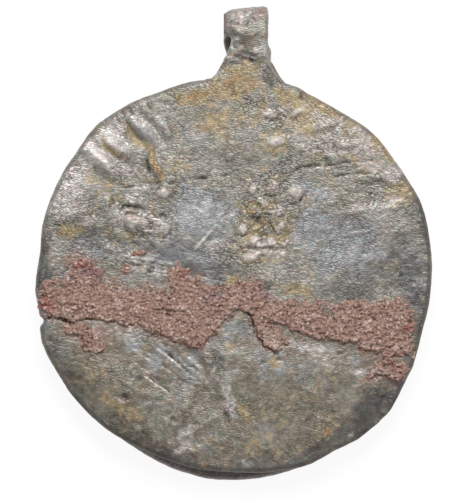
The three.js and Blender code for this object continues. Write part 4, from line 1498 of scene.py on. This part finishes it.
def crust_relief(x, y, node, cell, shape):
    """The form of a crust at each place of a grid: how far inside its border, the height of its top
    and of its bed over the face, and its marks."""
    low, high = box(node)
    wx, wy = ragged(x, y, seed=141, amount=0.4, size=0.9)
    # The band's left end is drawn out to the rim.
    wx = wx + 0.6 * eased((BAND_END - x) / 1.2)
    inside = depth_inside(wx, wy, outline_of(node)) + CRUST_BEVEL
    lower = np.clip(np.gradient(inside, cell, axis=0), -1.0, 1.0)
    frayed = rough(x, y, size=0.6, seed=143, octaves=3, gain=0.7)
    inside += 0.65 * (1.0 - 0.6 * lower) * frayed - 1.4 * humps(wx, wy, CRUST_GAPS)
    # It is thick at its lower borders and thin at its upper ones.
    near = np.exp(-np.maximum(inside, 0.0) / 1.2)
    body = (high[2] - low[2]) * (1.0 + near * (0.55 * lower - 0.25))
    rx, ry = ragged(x, y, seed=145, amount=0.22, size=0.8)
    ripple = {"octaves": 2, "gain": 0.6, "stretch": 1.9, "turn": -4, "sharp": True}
    creases = rough(rx, ry, size=0.27, seed=151, **ripple)
    texture = -shape.crust_ripples / MM * (creases - 0.2)
    texture += shape.crust_grain / MM * rough(x, y, size=0.19, seed=161, octaves=1)
    texture += 0.1 * rough(x, y, size=1.5, seed=165, octaves=2)
    texture *= 1.0 - hump(x, y, SMOOTH_CRUST)
    cracks = grooves(wx, wy, CRUST_CRACKS)
    texture += cracks
    rise = eased(inside / (0.3 - 0.12 * lower))
    bed = broad_relief(x, y, shape)
    bare = front_relief(x, y, shape) - bed
    top = bed + (body + texture) * rise + bare * (1.0 - rise) + 0.3 * np.minimum(inside, 0.0)
    # Painted glints on small spots, and painted shade in the creases and cracks.
    glints = 0.8 * eased((rough(x, y, size=0.17, seed=163, octaves=1) - 0.42) / 0.25)
    hollows = np.maximum(0.85 * eased((creases - 0.4) / 0.3), eased((-cracks - 0.05) / 0.1))
    return inside, top, bed, {"worn": glints, "dark_hollows_and_shade": hollows}


def crust_plate(node, material, shape):
    """A plate of crust, grainy and ragged, whose underside is sunk into the face."""
    low, high = box(node)
    cell = shape.crust_cell / MM
    columns, rows = (int((high[i] - low[i] + 2 * CRUST_MARGIN) / cell) for i in (0, 1))
    across = low[0] - CRUST_MARGIN + cell * np.arange(columns + 1)
    upwards = low[1] - CRUST_MARGIN + cell * np.arange(rows + 1)
    x, y = np.meshgrid(across, upwards)
    inside, top, bed, marks = crust_relief(x, y, node, cell, shape)

    corners = [inside[:-1, :-1], inside[1:, :-1], inside[:-1, 1:], inside[1:, 1:]]
    squares = grid_faces(columns, rows)[np.minimum.reduce(corners) > -CRUST_LAP]
    used, upper = np.unique(squares, return_inverse=True)
    upper = upper.reshape(-1, 4)
    x, y, top, bed = (values.ravel()[used] for values in (x, y, top, bed))
    above = np.column_stack([x, y, FACE + top])
    below = np.column_stack([x, y, FACE + bed - CRUST_ROOT])
    points = np.concatenate([above, below])
    faces = upper.tolist() + (upper[:, ::-1] + len(used)).tolist()
    sides = {(a, b) for quad in upper.tolist() for a, b in zip(quad, quad[1:] + quad[:1])}
    faces += [[a, a + len(used), b + len(used), b] for a, b in sides if (b, a) not in sides]

    marks = {key: np.tile(values.ravel()[used], 2) for key, values in marks.items()}
    wx, wy = ragged(points[:, 0], points[:, 1], seed=171, amount=0.4)
    for key, patches in CRUST_PATCHES.items():
        marks[key] = np.clip(humps(wx, wy, patches), 0, 1)
    made(node + "_grown", points, faces, material, node, marks)


class SEAL_OT_crusts(bpy.types.Operator):
    """Makes the crust that grew on the face: the band, the tongue, the patch and the islets"""

    bl_idname = "seal.crusts"
    bl_label = "Mineral crusts"

    def execute(self, context):
        crust = mineral_crust("red_mineral_crust", context.scene.crust_colours)
        nodes = sorted(name for name in NODES if name.startswith("crust"))
        if len(nodes) != 5:
            raise RuntimeError("the frame has to have five crusts")
        for node in nodes:
            crust_plate(node, crust, context.scene.seal_shape)
        return {"FINISHED"}


# Stage


def lamp(name, place, side, share):
    """A square lamp aimed at the face. Its share is its part of a white card's brightness."""
    light = bpy.data.lights.new(name, "AREA")
    light.size = side
    away = (Vector(place) - Vector((0.0, 0.0, FACE))) * MM
    light.energy = share * (math.pi * away.length) ** 2 / away.normalized().z
    holder = placed(name, light)
    holder.location = Vector(place) * MM
    holder.rotation_euler = away.to_track_quat("Z", "Y").to_euler()


class SEAL_OT_stage(bpy.types.Operator):
    """Makes the white floor, the room, the lamp and the camera straight above the face"""

    bl_idname = "seal.stage"
    bl_label = "Stage"

    def execute(self, context):
        settings = context.scene.seal_stage
        # A round floor with a low wall, just under the seal.
        reach, level, wall, corners = 1500.0, -0.02, 500.0, 64
        turns = [2 * math.pi * step / corners for step in range(corners)]
        low = [(reach * math.cos(t) * MM, reach * math.sin(t) * MM, level * MM) for t in turns]
        high = [(x, y, wall * MM) for x, y, _ in low]
        ahead = list(range(1, corners)) + [0]
        sides = [[i + corners, j + corners, j, i] for i, j in enumerate(ahead)]
        mesh = bpy.data.meshes.new("floor")
        mesh.from_pydata(low + high, [], [list(range(corners))] + sides)
        mesh.materials.append(white_paper())
        floor = placed("floor", mesh)

        world = bpy.data.worlds.new("white_room")
        world.use_nodes = True
        tree = world.node_tree
        tree.nodes.clear()
        light = {"Strength": settings.room, "Color": paint("#ffffff")}
        add(tree, "ShaderNodeOutputWorld", {"Surface": add(tree, "ShaderNodeBackground", light)})
        context.scene.world = world

        lamp("window", WINDOW_PLACE, settings.window_side, settings.window)

        camera = bpy.data.cameras.new("camera")
        camera.lens = settings.lens
        camera.clip_start, camera.clip_end = 0.01, 20.0
        away = settings.view_height * settings.lens / camera.sensor_width
        holder = placed("camera", camera)
        holder.location = Vector(VIEW_MIDDLE + (FACE,)) * MM + Vector((0.0, 0.0, away))
        context.scene.camera = holder
        context.scene.view_settings.view_transform = "Standard"
        return {"FINISHED"}


# Add-on


class SEAL_PT_panel(bpy.types.Panel):
    """Lists the seal's pieces, sizes and colours"""

    bl_idname = "SEAL_PT_panel"
    bl_label = "Lead Seal"
    bl_space_type = "VIEW_3D"
    bl_region_type = "UI"
    bl_category = "Lead Seal"

    def draw(self, context):
        for operator in OPERATORS:
            self.layout.operator(operator.bl_idname)
        for place, group in SETTINGS.items():
            column = self.layout.column(align=True)
            for key in group.__annotations__:
                column.prop(getattr(context.scene, place), key)


SETTINGS = {
    "seal_shape": SealShape,
    "lead_colours": LeadColours,
    "crust_colours": CrustColours,
    "seal_stage": StageSettings,
}
OPERATORS = (
    SEAL_OT_rear_disc,
    SEAL_OT_front_disc,
    SEAL_OT_strip,
    SEAL_OT_rivet,
    SEAL_OT_crusts,
    SEAL_OT_stage,
)


def register():
    """Makes the settings, the operators and the panel known to Blender."""
    for place, group in SETTINGS.items():
        bpy.utils.register_class(group)
        setattr(bpy.types.Scene, place, PointerProperty(type=group))
    for part in OPERATORS + (SEAL_PT_panel,):
        bpy.utils.register_class(part)


def unregister():
    """Takes them out again."""
    for part in (SEAL_PT_panel,) + OPERATORS:
        bpy.utils.unregister_class(part)
    for place, group in SETTINGS.items():
        delattr(bpy.types.Scene, place)
        bpy.utils.unregister_class(group)


def main():
    """Makes the whole seal and its stage."""
    register()
    bpy.ops.seal.rear_disc()
    bpy.ops.seal.front_disc()
    bpy.ops.seal.strip()
    bpy.ops.seal.rivet()
    bpy.ops.seal.crusts()
    bpy.ops.seal.stage()


if __name__ == "__main__":
    main()
